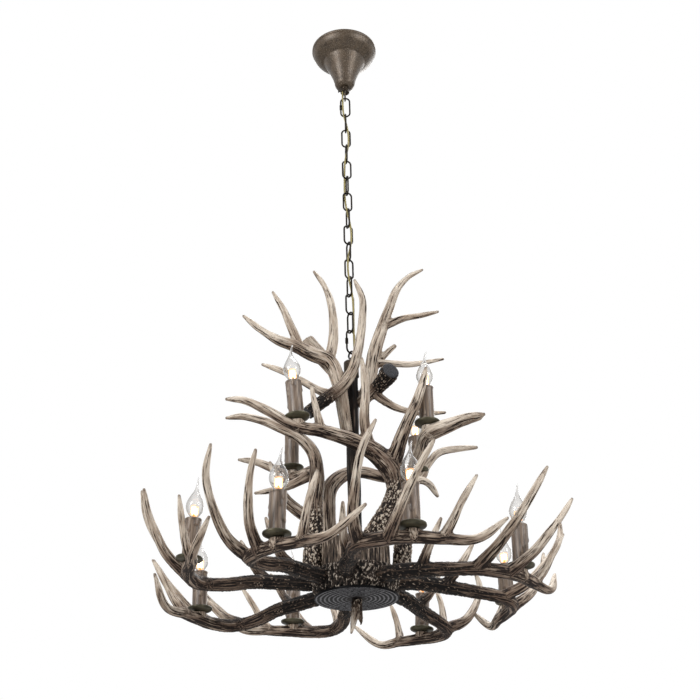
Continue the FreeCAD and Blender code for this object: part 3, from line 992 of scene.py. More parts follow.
def ease(values: np.ndarray, low: float, high: float) -> np.ndarray:
    """Rise smoothly from 0 at low to 1 at high."""
    share = np.clip((values - low) / (high - low), 0.0, 1.0)
    return share * share * (3 - 2 * share)


def ripple(places: np.ndarray) -> np.ndarray:
    """Give smooth noise from about -1 to 1 at places counted in waves."""
    return np.array([noise.noise(Vector(p)) for p in places])


def curls(places: np.ndarray) -> np.ndarray:
    """Give curled ridges from 0 to 1 that wind through each unit of place, with finer ones between."""
    coarse, fine = np.abs(ripple(places)), np.abs(ripple(places * 1.7 + 9.0))
    return np.clip(1.05 - 1.5 * coarse - 0.9 * fine, 0.0, 1.0)


def scales(places: np.ndarray) -> np.ndarray:
    """Give flat-topped scales from 0 to 1 with narrow winding cracks between them."""
    coarse, fine = np.abs(ripple(places)), np.abs(ripple(places * 1.6 + 5.0))
    return np.clip(1.7 * np.sqrt(coarse * fine) + 0.9 * np.minimum(coarse, fine) + 0.12, 0.0, 1.0)


@dataclass
class PhotoCamera:
    """Camera where the photograph was taken from."""

    place: Point = (0.0, -2.2413, -2.0190)
    pitch: float = 27.86
    yaw: float = -0.05
    roll: float = -1.31
    lens: float = 61.0
    sensor: float = 36.0

    def build(self) -> None:
        """Make the camera and hand it to the scene."""
        pitch, yaw, roll = (math.radians(a) for a in (self.pitch, self.yaw, self.roll))
        right = Vector((math.cos(yaw), -math.sin(yaw), 0.0))
        ahead = Vector((math.sin(yaw) * math.cos(pitch), math.cos(yaw) * math.cos(pitch), math.sin(pitch)))
        above = right.cross(ahead)
        side = right * math.cos(roll) + above * math.sin(roll)
        top = above * math.cos(roll) - right * math.sin(roll)
        data = bpy.data.cameras.new("photo_camera")
        data.lens, data.sensor_width, data.sensor_fit = self.lens, self.sensor, "AUTO"
        camera = stand("photo_camera", data)
        turn = Matrix((side, top, -ahead)).transposed().to_4x4()
        camera.matrix_world = Matrix.Translation(self.place) @ turn
        bpy.context.scene.camera = camera


@dataclass
class Flex:
    """Lead that winds down through the links in four runs, each across one hinge of the chain."""

    diameter: float = 4.4
    bend: float = 13.0
    route: tuple[Point, ...] = (
        (-5.6, -4.4, -127.62), (-6, -4.8, -165.25), (-5.08, -4.92, -202.9), (5.51, -4.22, -247.8),
        (6.1, -3.91, -292.98), (-4.13, -5.65, -338.16), (-5.79, 4.07, -383.34), (-6.41, 3.89, -428.52),
        (-3.29, -6.18, -473.7), (6.47, -2.52, -518.88), (6.99, -2.14, -564.06), (-2.88, -6.48, -609.24),
        (-2.07, -6.69, -654.42), (6.66, -1.36, -699.6), (7.68, -0.88, -744.78), (6.97, -0.69, -789.96),
        (7.45, -0.12, -840.86), (10.39, 2.11, -853.56), (10.39, 2.11, -873.54))

    def line(self, thick: bool) -> Mesh:
        """Draw the route as one smooth spline.

        Args:
            thick: Whether the spline gets its round section.

        Returns:
            The spline's mesh.
        """
        curve = bpy.data.curves.new("flex_route", "CURVE")
        curve.dimensions = "3D"
        curve.resolution_u = 10
        curve.use_fill_caps = True
        curve.bevel_depth = self.diameter / 2 * MM if thick else 0.0
        curve.bevel_resolution = 3
        spline = curve.splines.new("NURBS")
        spline.points.add(len(self.route) - 1)
        for point, (x, y, z) in zip(spline.points, self.route):
            point.co = (x * MM, y * MM, z * MM, 1.0)
        spline.order_u = 3
        spline.use_endpoint_u = True
        drawn = stand("flex_route", curve)
        mesh = bpy.data.meshes.new_from_object(drawn.evaluated_get(bpy.context.evaluated_depsgraph_get()))
        bpy.data.objects.remove(drawn)
        return mesh

    def build(self) -> None:
        """Cut the lead in mid-link, where both ends ride together, into four runs."""
        whole = self.line(True)
        centre = [v.co.copy() for v in self.line(False).vertices]
        cuts = [z * MM for z in (0.0, GATE_TOP, (CHAIN_TOP + CHAIN_LOW) / 2, GATE_LOW, DRUM_TOP)]
        for k, hinge in enumerate((LOOP_LOW, CHAIN_TOP, CHAIN_LOW, EYE_TOP)):
            top, low = cuts[k], cuts[k + 1]
            bm = bmesh.new()
            bm.from_mesh(whole)
            for height, up in ((top, 1), (low, -1)):
                bmesh.ops.bisect_plane(bm, geom=bm.verts[:] + bm.edges[:] + bm.faces[:],
                                       plane_co=(0, 0, height), plane_no=(0, 0, up), clear_outer=True)
            path = [p for p in centre if low <= p.z <= top]
            path += [a.lerp(b, (a.z - height) / (a.z - b.z)) for height in (top, low)
                     for a, b in zip(centre, centre[1:]) if a.z > height > b.z]
            path.sort(key=lambda p: -p.z)
            self.hang("flex_run_%d" % (k + 1), bm)

    def hang(self, name: str, bm: BMesh) -> None:
        """Make one run of the lead as a piece of its own.

        Args:
            name: Name of the run.
            bm: Its mesh.
        """
        mesh = meshed(name, bm)
        mesh.shade_smooth()
        mesh.materials.append(SLEEVE.material())
        piece = stand(name, mesh)
        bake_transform(piece)
        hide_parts("flex")


@dataclass
class Canopy:
    """Spun bell under the ceiling with its collar, hanging loop and side screw."""

    wall: float = 1.5
    bore: float = 5.2
    neck: float = -100.0
    loop_r: float = 12.0
    loop_wire: float = 4.0
    collar_r: float = 10.5
    screw_drop: float = 9.5
    knurl: float = 0.5
    outline: tuple[tuple[float, float], ...] = (
        (77.2, 0.0), (78.0, -0.8), (78.0, -5.6), (77.3, -6.6), (76.4, -7.4), (75.2, -12.0), (72.6, -18.0),
        (68.5, -24.0), (62.5, -29.4), (56.5, -33.2), (52.4, -35.0), (50.6, -35.6), (49.4, -36.6),
        (48.4, -38.6), (46.5, -43.5), (42.6, -52.5), (38.0, -62.0), (33.8, -71.5), (30.0, -82.0),
        (26.9, -92.0), (24.9, -100.0), (24.1, -105.5), (23.0, -110.2), (20.8, -114.0), (17.8, -116.6),
        (14.6, -117.7), (10.0, -118.0), (5.2, -118.0))

    def bell(self) -> BMesh:
        """Turn the bell: a rolled rim, a shallow dish, a crisp step and a cone that rounds into the neck.

        Returns:
            The bell's mesh with both walls.
        """
        inner = [(max(r - self.wall, self.bore), z + self.wall if z < self.neck else z)
                 for r, z in self.outline]
        return spun([*self.outline, *inner[::-1]], 96, closed=True)

    def hanger(self) -> BMesh:
        """Turn the waisted, knurled collar and bend the loop under it.

        Returns:
            The collar and loop.
        """
        collar = spun([(5.0, 0.0), (7.6, 0.0), (8.0, -0.6), (7.5, -1.4), (7.5, -4.4), (8.2, -5.2),
                       (9.8, -5.4), (10.5, -6.0), (10.5, -7.2), (9.9, -7.6), (9.9, -11.2), (10.5, -11.6),
                       (10.5, -13.0), (9.6, -14.0), (5.0, -14.0)], 48, CANOPY_LOW)
        waist = [f for f in collar.faces if 9.8 * MM < f.calc_center_median().xy.length < 10.1 * MM]
        bmesh.ops.inset_individual(collar, faces=waist, thickness=0.12 * MM, depth=self.knurl * MM)
        place = Matrix.Translation((0, 0, (LOOP_LOW + self.loop_r) * MM))
        pour(hoop(self.loop_r, self.loop_wire, 48), collar, place)
        return collar

    def screw(self) -> BMesh:
        """Turn the side screw.

        Returns:
            The screw on the collar's left.
        """
        bm = spun([(0.0, -3.0), (1.5, -3.0), (1.5, 3.2), (2.6, 3.4), (3.0, 3.9), (3.0, 5.2), (2.4, 5.9),
                   (0.0, 6.0)], 20)
        place = Matrix.Translation((-self.collar_r * MM, 0, (CANOPY_LOW - self.screw_drop) * MM))
        bmesh.ops.transform(bm, matrix=place @ Matrix.Rotation(math.radians(-90), 4, "Y"), verts=bm.verts[:])
        return bm

    def build(self) -> None:
        """Make the bell, hanger and screw, and dress the hidden bracket and tube."""
        settle("canopy_bell", self.bell(), Body.CANOPY, "canopy", Slot.PAINT, PAINT, sharp=35)
        settle("collar_and_loop", self.hanger(), Body.CANOPY, "hanging_loop", Slot.PAINT, DARK_BRONZE,
               sharp=35)
        settle("collar_screw", self.screw(), Body.CANOPY, "set_screw", Slot.CHAIN, CHAIN_BRONZE, sharp=35)
        for node in ("bracket", "nipple"):
            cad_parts[node].data.materials.clear()
            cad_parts[node].data.materials.append(ZINC.material())
            LOG.info("%s keeps its own shape", node)


@dataclass
class Chain:
    """Oval links between two screw-gate links."""

    length: float = 53.2
    width: float = 23.2
    wire: float = 4.0
    gate_length: float = 59.2
    gate_width: float = 25.2
    nut_r: float = 3.6
    nut_length: float = 13.0
    nut_bevel: float = 0.5
    links: int = 13
    pitch: float = 45.18
    first: float = -225.2
    twist: float = 2.7

    def place(self, height: float, number: int) -> Matrix:
        """Give the place of one link.

        Args:
            height: Height of its middle in millimetres.
            number: Its number from the top; each hangs twisted a little more.

        Returns:
            The place, flat to the chain's own side.
        """
        turn = math.radians(self.twist * number)
        return Matrix.Translation((0, 0, height * MM)) @ Matrix.Rotation(turn, 4, "Z")

    def nut(self, place: Matrix) -> BMesh:
        """Turn the gate's six-sided sleeve nut with its bevelled ends.

        Args:
            place: Where the gate's middle goes.

        Returns:
            The nut round the link's left side.
        """
        bm = bmesh.new()
        bmesh.ops.create_cone(bm, cap_ends=True, segments=6, radius1=self.nut_r * MM, radius2=self.nut_r * MM,
                              depth=self.nut_length * MM)
        bmesh.ops.bevel(bm, geom=bm.edges[:], offset=self.nut_bevel * MM, offset_type="OFFSET",
                        affect="EDGES", segments=2, profile=0.5, material=-1)
        side = Matrix.Translation((-(self.gate_width - self.wire) / 2 * MM, 0, 0))
        bmesh.ops.transform(bm, matrix=place @ side, verts=bm.verts[:])
        return bm

    def build(self) -> None:
        """Make both gate links with their nuts and the run of plain links."""
        for name, body, height, number in (("top", Body.TOP_LINK, GATE_TOP, 0),
                                           ("low", Body.LOW_LINK, GATE_LOW, self.links + 1)):
            place = self.place(height, number)
            gate = bmesh.new()
            link_wire(gate, self.gate_length, self.gate_width, self.wire, place)
            settle("gate_" + name, gate, body, "gate_link_" + name, Slot.CHAIN, CHAIN_BRONZE)
            settle("nut_" + name, self.nut(place), body, "gate_nut_" + name, Slot.CHAIN, CHAIN_BRONZE,
                   sharp=25)
        bm = bmesh.new()
        for i in range(self.links):
            turn = Matrix.Rotation(0.0 if i % 2 else math.pi / 2, 4, "Z")
            place = self.place(self.first - i * self.pitch, i + 1)
            link_wire(bm, self.length, self.width, self.wire, place @ turn)
        settle("oval_links", bm, Body.CHAIN, "chain_links", Slot.CHAIN, CHAIN_BRONZE)


@dataclass
class Log:
    """An upright log with its bark modelled in relief; wave is a furrow's breadth and length."""

    name: str
    finish: Finish
    slot: Slot
    node: str
    levels: Outline
    steps: int
    rings: int
    furrow: float
    wave: tuple[float, float]
    curled: float = 0.0

    def build(self) -> None:
        """Turn the log, cut its furrows and mark their depth."""
        bm = bmesh.new()
        step = (self.levels[-1][1] - self.levels[0][1]) / self.rings
        tube(bm, trace([(0.0, 0.0, z, r) for r, z in self.levels], step), self.steps, blunt=False)
        mesh = meshed(self.name, bm)
        places = points_of(mesh)
        radial = np.hypot(places[:, 0], places[:, 1])
        turn = np.arctan2(places[:, 1], places[:, 0])
        size = max(r for r, z in self.levels)
        around = np.stack([np.cos(turn) * size / self.wave[0], np.sin(turn) * size / self.wave[0],
                           places[:, 2] / MM / self.wave[1]], 1)
        bark = np.clip(0.5 + 0.5 * ripple(around) + 0.25 * ripple(around * 2.3 + 7.0), 0.0, 1.0)
        bark = bark * (1 - self.curled) + self.curled * curls(around * 1.6)
        places[:, :2] *= 1 + (self.furrow * MM * (bark - 1.0) / radial)[:, None]
        move_points(mesh, places)
        mark(mesh, "relief", bark)
        settle(self.name, mesh, Body.FIXTURE, self.node, self.slot, self.finish, sharp=70)


@dataclass
class Stem:
    """Eye, cap, bark column, fluted drum, log hub and sawn disc of the fixture."""

    chain: Chain
    eye_r: float = 8.0
    eye_wire: float = 4.0
    cap_r: float = 16.0
    stem_r: float = 14.6
    drum_r: float = 68.2
    disc_r: float = 82.0
    rings: int = 9
    ring_first: float = 77.9
    ring_depth: float = 1.3

    def eye(self) -> BMesh:
        """Bend the eye and turn its shank.

        Returns:
            The eye above the cap.
        """
        bm = spun([(0.0, -18.0), (3.5, -18.0), (3.5, -1.0), (6.5, 0.0), (6.5, 2.0), (4.2, 3.4), (3.5, 7.0),
                   (0.0, 9.0)], 28, CAP_TOP)
        place = self.chain.place(EYE_TOP - self.eye_r, self.chain.links + 1)
        pour(hoop(self.eye_r, self.eye_wire, 40), bm, place)
        return bm

    def cap(self) -> BMesh:
        """Turn the dark cap with its rounded shoulder.

        Returns:
            The cap on the stem.
        """
        foot, r = STEM_TOP - CAP_TOP, self.cap_r
        return spun([(0.0, foot), (r, foot), (r, -3.0), (r - 0.4, -1.4), (r - 1.4, -0.4), (r - 2.6, 0.0),
                     (0.0, 0.0)], 48, CAP_TOP)

    def disc(self) -> BMesh:
        """Turn the sawn disc with shallow year rings on its face.

        Returns:
            The disc under the hub.
        """
        top, r = DISC_TOP - DISC_LOW, self.disc_r
        outline = [(0.0, top), (r - 1.2, top), (r, top - 1.0), (r, 1.2), (r - 1.0, 0.0)]
        for k in range(self.rings):
            radius = self.ring_first - k * SAWN.ring_mm
            outline += [(radius, self.ring_depth), (radius - SAWN.ring_mm / 2, 0.0)]
        return spun([*outline, (0.0, 0.0)], 96, DISC_LOW)

    def build(self) -> None:
        """Make the pieces of the stem from the top down."""
        settle("eye_bolt", self.eye(), Body.FIXTURE, "stem_eye", Slot.CHAIN, CHAIN_BRONZE)
        settle("cap_of_stem", self.cap(), Body.FIXTURE, "stem_cap", Slot.PAINT, DARK_BRONZE, sharp=30)
        hub = [(81.0, DISC_TOP), (87.0, DISC_TOP + 16), (90.0, HUB_TOP - 8), (88.0, HUB_TOP)]
        stem = [(self.stem_r, HUB_TOP), (self.stem_r, STEM_TOP)]
        drum = [(self.drum_r, HUB_TOP), (self.drum_r, DRUM_TOP)]
        Log("bark_stem", STEM_BARK, Slot.BARK, "stem", stem, steps=72, rings=90, furrow=2.6,
            wave=(5.0, 60.0)).build()
        Log("fluted_drum", DRUM_BARK, Slot.FLUTED, "drum", drum, steps=220, rings=24, furrow=3.4,
            wave=(6.0, 60.0)).build()
        Log("bark_hub", HUB_BARK, Slot.BARK, "hub", hub, steps=240, rings=30, furrow=6.0,
            wave=(10.0, 17.0), curled=0.75).build()
        settle("sawn_disc", self.disc(), Body.FIXTURE, "hub_disc", Slot.SAWN, SAWN, sharp=30)


@dataclass(frozen=True)
class Limb:
    """One limb of a horn: its stations, and whether its first or last end is sawn."""

    stations: tuple[Station, ...]
    sawn_first: bool = False
    sawn_last: bool = False


@dataclass(frozen=True)
class Horn:
    """One casting: a beam and its tines, black up to one run along the beam and clear from another."""

    limbs: tuple[Limb, ...]
    lift: float
    black: float
    clear: float
    pearled: float = 1.0
    wash: float = 0.0

    def grow(self, name: str) -> Mesh:
        """Grow the limbs into one skin and carve it.

        Args:
            name: Name of the casting.

        Returns:
            The carved mesh with the marks that its finish reads.
        """
        lines = [trace([(x, y, z + self.lift, r) for x, y, z, r in limb.stations], 7.0)
                 for limb in self.limbs]
        bm = bmesh.new()
        for limb, line in zip(self.limbs, lines):
            tube(bm, line, 14, blunt=not limb.sawn_last)
        rough = meshed(name, bm)
        block = stand(name, rough)
        skin = block.modifiers.new("skin", "REMESH")
        skin.mode, skin.voxel_size = "VOXEL", HORN_VOXEL
        mesh = bpy.data.meshes.new_from_object(block.evaluated_get(bpy.context.evaluated_depsgraph_get()))
        bpy.data.objects.remove(block)
        bpy.data.meshes.remove(rough)
        self.soften(mesh, lines)
        self.carve(mesh, lines)
        return mesh

    def depths(self, places: np.ndarray, lines: list[Line]) -> tuple[np.ndarray, np.ndarray]:
        """Find how deep each point lies in each limb.

        Args:
            places: Points of the casting.
            lines: Its limbs' lines.

        Returns:
            Distance from each limb's skin, and the number of its nearest sample.
        """
        depth, nearest = [], []
        for line in lines:
            gap = np.linalg.norm(places[:, None, :] - line.points[None], axis=2) - line.radii[None]
            nearest.append(gap.argmin(1))
            depth.append(gap.min(1))
        return np.stack(depth, 1), np.stack(nearest, 1)

    def soften(self, mesh: Mesh, lines: list[Line]) -> None:
        """Round the webs between limbs, and lightly the rest.

        Args:
            mesh: The joined limbs.
            lines: Their lines.
        """
        depth = np.sort(self.depths(points_of(mesh), lines)[0], axis=1)
        webbed = depth[:, 1] < WEB_REACH if len(lines) > 1 else np.zeros(len(depth), bool)
        bm = bmesh.new()
        bm.from_mesh(mesh)
        bm.verts.ensure_lookup_table()
        webs = [bm.verts[i] for i in np.flatnonzero(webbed)]
        for verts in [webs] * WEB_TURNS + [bm.verts[:]]:
            bmesh.ops.smooth_vert(bm, verts=verts, factor=0.5, use_axis_x=True, use_axis_y=True,
                                  use_axis_z=True)
        bm.to_mesh(mesh)
        bm.free()

    def carve(self, mesh: Mesh, lines: list[Line]) -> None:
        """Mark each point's place on its limb, crust the base, score the grooves, and mark the staining
        together with painted shade under the limbs and in the forks.

        Args:
            mesh: The softened casting.
            lines: Its limbs' lines.
        """
        places, normals = points_of(mesh), points_of(mesh, "normal")
        depth, nearest = self.depths(places, lines)
        own = depth.argmin(1)
        web = np.ones(len(places)) if len(lines) == 1 else np.partition(depth, 1, axis=1)[:, 1] / FORK_REACH
        local = np.zeros_like(places)
        black, sawn, tip, thick, bare = (np.zeros(len(places)) for _ in range(5))
        beam = lines[0]
        sooty = 1 - ease(beam.run / MM, self.black, self.clear)
        for k, (limb, line) in enumerate(zip(self.limbs, lines)):
            here = np.flatnonzero(own == k)
            at = nearest[here, k]
            off = places[here] - line.points[at]
            run = line.run[at] + (off * line.along[at]).sum(1)
            local[here] = np.stack([(off * line.across[at]).sum(1), (off * line.up[at]).sum(1),
                                    run + k * LIMB_SHIFT], 1)
            thick[here] = line.radii[at]
            root = np.linalg.norm(beam.points - line.points[0], axis=1).argmin()
            black[here] = sooty[root] * (1 - ease(run, *TINE_SOOT)) if k else sooty[at]
            bare[here] = line.run[-1] < PAD_RUN
            end = line.run[-1] - run
            if limb.sawn_first:
                sawn[here] = 1 - ease(run, *SAW_EDGE)
            if limb.sawn_last:
                sawn[here] = np.maximum(sawn[here], 1 - ease(end, *SAW_EDGE))
            else:
                tip[here] = 1 - ease(end, *TIP_REACH)
        pearl = scales(local / (np.array(SCALE_MM) * MM))
        score = ripple(local / (np.array(SCORE_MM) * MM))
        lump = ripple(places / (LUMP_MM * MM))
        full = np.clip(thick / FULL_RADIUS, LEAST_CUT, 1.0) * (1 - sawn)
        plain = 1 - self.pearled
        crust = (CRUST_DEEP_MM + PEARL_DEEP_MM * self.pearled) * (pearl - 0.5) + plain * CRUST_DEEP_MM * score
        shift = black * crust + (1 - black) * GROOVE_DEEP_MM * score + LUMP_DEEP_MM * lump
        move_points(mesh, places + normals * (shift * full * MM)[:, None])
        # Painted shade: the colour darkens where the skin faces down and in the forks between limbs; the rest
        # of this mark is the casting's own staining, heavier on thick limbs and lighter on the bare pads.
        under = ease(-normals[:, 2], *UNDERSIDE)
        aged = ease(thick, *AGED_RADII)
        fork = 1 - np.clip(web, 0, 1)
        stain_and_shade = (0.3 + 0.2 * aged) * under + 0.2 * fork + (0.2 + self.wash) * aged - PAD_BARE * bare
        for key, values in (("limb", local), ("burnt", black), ("relief", pearl - PLAIN_SINK * plain),
                            ("sawn", sawn), ("tip", tip * TIP_STAIN), ("stained_and_shaded", np.clip(stain_and_shade, 0.0, 1.0))):
            mark(mesh, key, values)


LOWER = Horn((
    Limb(((-34, -60, 32, 16), (-54, -122, 29, 14.5), (-62, -192, 22, 13.5), (-78, -246, 13, 13),
          (-74, -290, 8, 13), (-36, -322, 7, 13), (4, -334, 8, 12), (50, -340, 7, 11), (110, -352, 8, 8.5),
          (172, -346, 54, 3))),
    Limb(((-77, -274, 9, 13), (-102, -322, 37, 10.5), (-110, -365, 80, 8.5), (-108, -400, 130, 6.8),
          (-89, -421, 177, 3))),
    Limb(((-40, -324, 8, 12), (-34, -368, 40, 9.5), (-23, -397, 76, 8), (-8, -420, 112, 6.2),
          (9, -435, 145, 3))),
    Limb(((52, -340, 8, 10.5), (65, -358, 36, 8), (78, -371, 66, 6.4), (102, -388, 110, 3))),
    Limb(((-58, -158, 25, 11.5), (-78, -182, 56, 8.5), (-88, -214, 109, 3))),
    Limb(((0, -335, 8, 12), (0, -333, 14, 12.2), (0, -333, 23, 13.6)), sawn_last=True),
), lift=0.0, black=60.0, clear=400.0, pearled=0.1, wash=0.65)
MID_FRONT = Horn((
    Limb(((23, -58, -13, 17), (62, -66, 41, 17), (82, -66, 86, 18.5), (77, -68, 121, 22), (59, -76, 146, 22),
          (28, -94, 165, 18), (-10, -114, 176, 15), (-60, -134, 185, 13), (-107, -150, 189, 11.5),
          (-175, -158, 226, 9.5), (-212, -155, 245, 7.5), (-247, -150, 251, 3))),
    Limb(((79, -74, 145, 17), (102, -115, 195, 12.5), (125, -131, 240, 10.5), (140, -140, 281, 8),
          (148, -147, 312, 3))),
    Limb(((29, -96, 174, 12.5), (23, -116, 215, 10.5), (27, -134, 271, 8.5), (21, -148, 336, 3))),
    Limb(((-62, -136, 187, 10.5), (-71, -140, 232, 6.5), (-80, -146, 278, 2.5))),
    Limb(((-106, -149, 188, 11.5), (-106.4, -150, 196, 12), (-107, -150, 203, 13.6)), sawn_last=True),
), lift=DRUM_TOP, black=105.0, clear=200.0, pearled=1.0, wash=0.28)
MID_RIGHT = Horn((
    Limb(((86, 20, -10, 18), (91, 22, 28, 18), (98, 22, 94, 17), (104, 14, 148, 15.5), (117, -10, 198, 14),
          (135, -62, 234, 12.5), (147, -108, 248, 12), (187, -114, 263, 10), (224, -110, 278, 8),
          (262, -102, 286, 4.5))),
    Limb(((140, -84, 242, 11), (176, -100, 252, 9), (216, -102, 268, 7), (256, -98, 280, 3.5))),
    Limb(((110, 8, 186, 11.5), (134, 24, 200, 8.5), (154, 40, 197, 7.5), (172, 60, 177, 3.5))),
    Limb(((147, -108, 247, 11.5), (147, -108, 255, 12), (147, -108, 262, 13.6)), sawn_last=True),
), lift=HUB_TOP, black=90.0, clear=170.0, pearled=1.0, wash=-0.2)
MID_BACK = Horn((
    Limb(((-50, 70, -10, 19), (-55, 69, 74, 18), (-57, 74, 149, 19), (-53, 83, 206, 18), (-19, 99, 246, 14.5),
          (18, 112, 256, 13), (65, 128, 250, 12.5), (137, 149, 251, 12), (160, 155, 286, 9),
          (186, 160, 316, 8.5), (226, 164, 326, 7.5), (272, 162, 328, 3.5))),
    Limb(((-58, 74, 146, 15), (-88, 72, 142, 13.5), (-114, 67, 154, 13), (-145, 60, 182, 12),
          (-161, 52, 219, 9), (-174, 46, 257, 3))),
    Limb(((137, 149, 250, 11.5), (137, 149, 258, 12), (137, 149, 266, 13.6)), sawn_last=True),
), lift=HUB_TOP, black=-40.0, clear=60.0, pearled=1.0, wash=0.28)
MID_LEFT = Horn((
    Limb(((-84, -8, -10, 19), (-83, -8, 32, 19.5), (-81, -10, 87, 18), (-79, -12, 148, 16.5),
          (-74, -10, 200, 15.5), (-80, -14, 245, 13.5), (-102, -22, 274, 12), (-138, -26, 296, 10.5),
          (-185, -28, 317, 9), (-225, -28, 328, 7), (-260, -26, 326, 3))),
    Limb(((-76, -6, 215, 13.5), (-95, 50, 232, 12.5), (-131, 105, 246, 12), (-179, 122, 276, 9.5),
          (-211, 120, 289, 7.5), (-247, 112, 291, 3))),
    Limb(((-85, 20, 217, 11.5), (-128, 48, 206, 9), (-170, 60, 199, 6.5), (-206, 66, 196, 3))),
    Limb(((-131, 105, 245, 11.5), (-131, 105, 253, 12), (-131, 105, 260, 13.6)), sawn_last=True),
), lift=HUB_TOP, black=110.0, clear=190.0, pearled=1.0, wash=0.28)
TOP_LEFT = Horn((
    Limb(((-12, -12, -169, 12), (-20, -26, -112, 14), (-29, -30, -56, 15.5), (-46, -34, -16, 17),
          (-84, -44, 0, 15.5), (-117, -55, 13, 13.5), (-152, -66, 22, 10.5), (-187, -76, 42, 7.5),
          (-224, -86, 71, 3))),
    Limb(((-50, -33, -18, 13), (-38, -34, 24, 11), (-36, -36, 79, 9.5), (-42, -39, 129, 8),
          (-55, -42, 167, 6), (-77, -45, 201, 3))),
    Limb(((-108, -54, 13, 11.5), (-126, -60, 58, 9), (-141, -63, 96, 7.2), (-164, -66, 139, 3))),
    Limb(((-33, -28, -92, 10.5), (-66, -36, -84, 9), (-107, -42, -60, 7.5), (-148, -46, -39, 6.5),
          (-186, -48, -25, 3))),
), lift=CAP_TOP, black=-60.0, clear=40.0)
TOP_FRONT = Horn((
    Limb(((-91, -68, -150, 13), (-51, -56, -110, 13.5), (-20, -47, -80, 13), (3, -40, -38, 11.5),
          (16, -38, 13, 10.5), (25, -46, 71, 9), (27, -54, 123, 7.2), (11, -58, 169, 3)), sawn_first=True),
), lift=CAP_TOP, black=40.0, clear=130.0, pearled=0.3)
TOP_RIGHT = Horn((
    Limb(((21, 10, -94, 14), (38, 18, -34, 15), (50, 24, 31, 15), (67, 26, 88, 13), (83, 24, 134, 11),
          (106, 20, 190, 8.5), (132, 16, 218, 6.2), (164, 12, 234, 3))),
    Limb(((80, 26, 103, 10.5), (116, 24, 117, 7.5), (153, 22, 122, 6), (194, 20, 130, 3))),
    Limb(((53, 22, 8, 10), (87, 14, 1, 7.8), (129, 5, -6, 6.2), (196, -5, 0, 3))),
    Limb(((64, 26, 20, 8), (82, 31, 41, 6.5), (96, 34, 55, 5))),
    Limb(((14, 18, -83, 12), (-34, 32, -8, 15), (-96, 36, 72, 17.5)), sawn_last=True),
), lift=CAP_TOP, black=-20.0, clear=60.0)
TOP_STUB = Horn((
    Limb(((81, -72, -58, 18), (77, -63, -60, 20), (67, -40, -64, 17), (46, -14, -75, 14), (14, 4, -96, 12)),
         sawn_first=True),
    Limb(((44, -12, -76, 11), (66, -14, -99, 9), (95, -15, -118, 7.5), (139, -18, -131, 6),
          (192, -22, -133, 3))),
), lift=CAP_TOP, black=50.0, clear=92.0, pearled=0.4)
FINIAL = Horn((
    Limb(((0, 0, 1, 11), (-4, -2, -30, 7.5), (-12, -5, -67, 2))),
    Limb(((3, 1, -6, 8), (6, 4, -28, 5), (7, 5, -47, 2))),
), lift=DISC_LOW, black=-10.0, clear=75.0, pearled=0.7)


@dataclass
class Antlers:
    """Eight copies of the lower casting, each with its turn, nod and roll, and the one-off horns above."""

    seat: float = 30.0
    sets: tuple[Point, ...] = (
        (-23.7, -0.2, 1.5), (17.0, -1.1, 0.7), (64.8, 2.2, -0.9), (113.2, 0.4, 0.5),
        (155.2, 1.8, -3.4), (204.8, -2.1, 0.1), (251.6, 1.9, -0.4), (292.3, -3.3, 1.4))

    def place(self, k: int) -> Matrix:
        """Give the place of one lower casting.

        Args:
            k: Its number, from nought.

        Returns:
            Its turn about the stem after its nod and roll.
        """
        turn, nod, roll = (math.radians(a) for a in self.sets[k])
        seat = Matrix.Translation((0, 0, self.seat * MM))
        lean = seat @ Matrix.Rotation(roll, 4, "Y") @ Matrix.Rotation(nod, 4, "X") @ seat.inverted()
        return Matrix.Translation((0, 0, DISC_LOW * MM)) @ Matrix.Rotation(turn, 4, "Z") @ lean

    def build(self) -> None:
        """Grow the lower casting once and set it eight times, then grow the others."""
        casting = LOWER.grow("lower_casting")
        for k in range(len(self.sets)):
            copy = casting.copy()
            copy.transform(self.place(k))
            settle("horn_lower_%d" % (k + 1), copy, Body.FIXTURE, "lower_antler_%d" % (k + 1), Slot.HORN,
                   HORN, sharp=80)
        bpy.data.meshes.remove(casting)
        singles = {"mid_antler_front": MID_FRONT, "mid_antler_right": MID_RIGHT, "mid_antler_back": MID_BACK,
                   "mid_antler_left": MID_LEFT, "top_antler_left": TOP_LEFT, "top_antler_front": TOP_FRONT,
                   "top_antler_right": TOP_RIGHT, "top_antler_stub": TOP_STUB, "finial": FINIAL}
        for node, horn in singles.items():
            name = "horn_" + node.replace("_antler", "")
            settle(name, horn.grow(name), Body.FIXTURE, node, Slot.HORN, HORN, sharp=80)


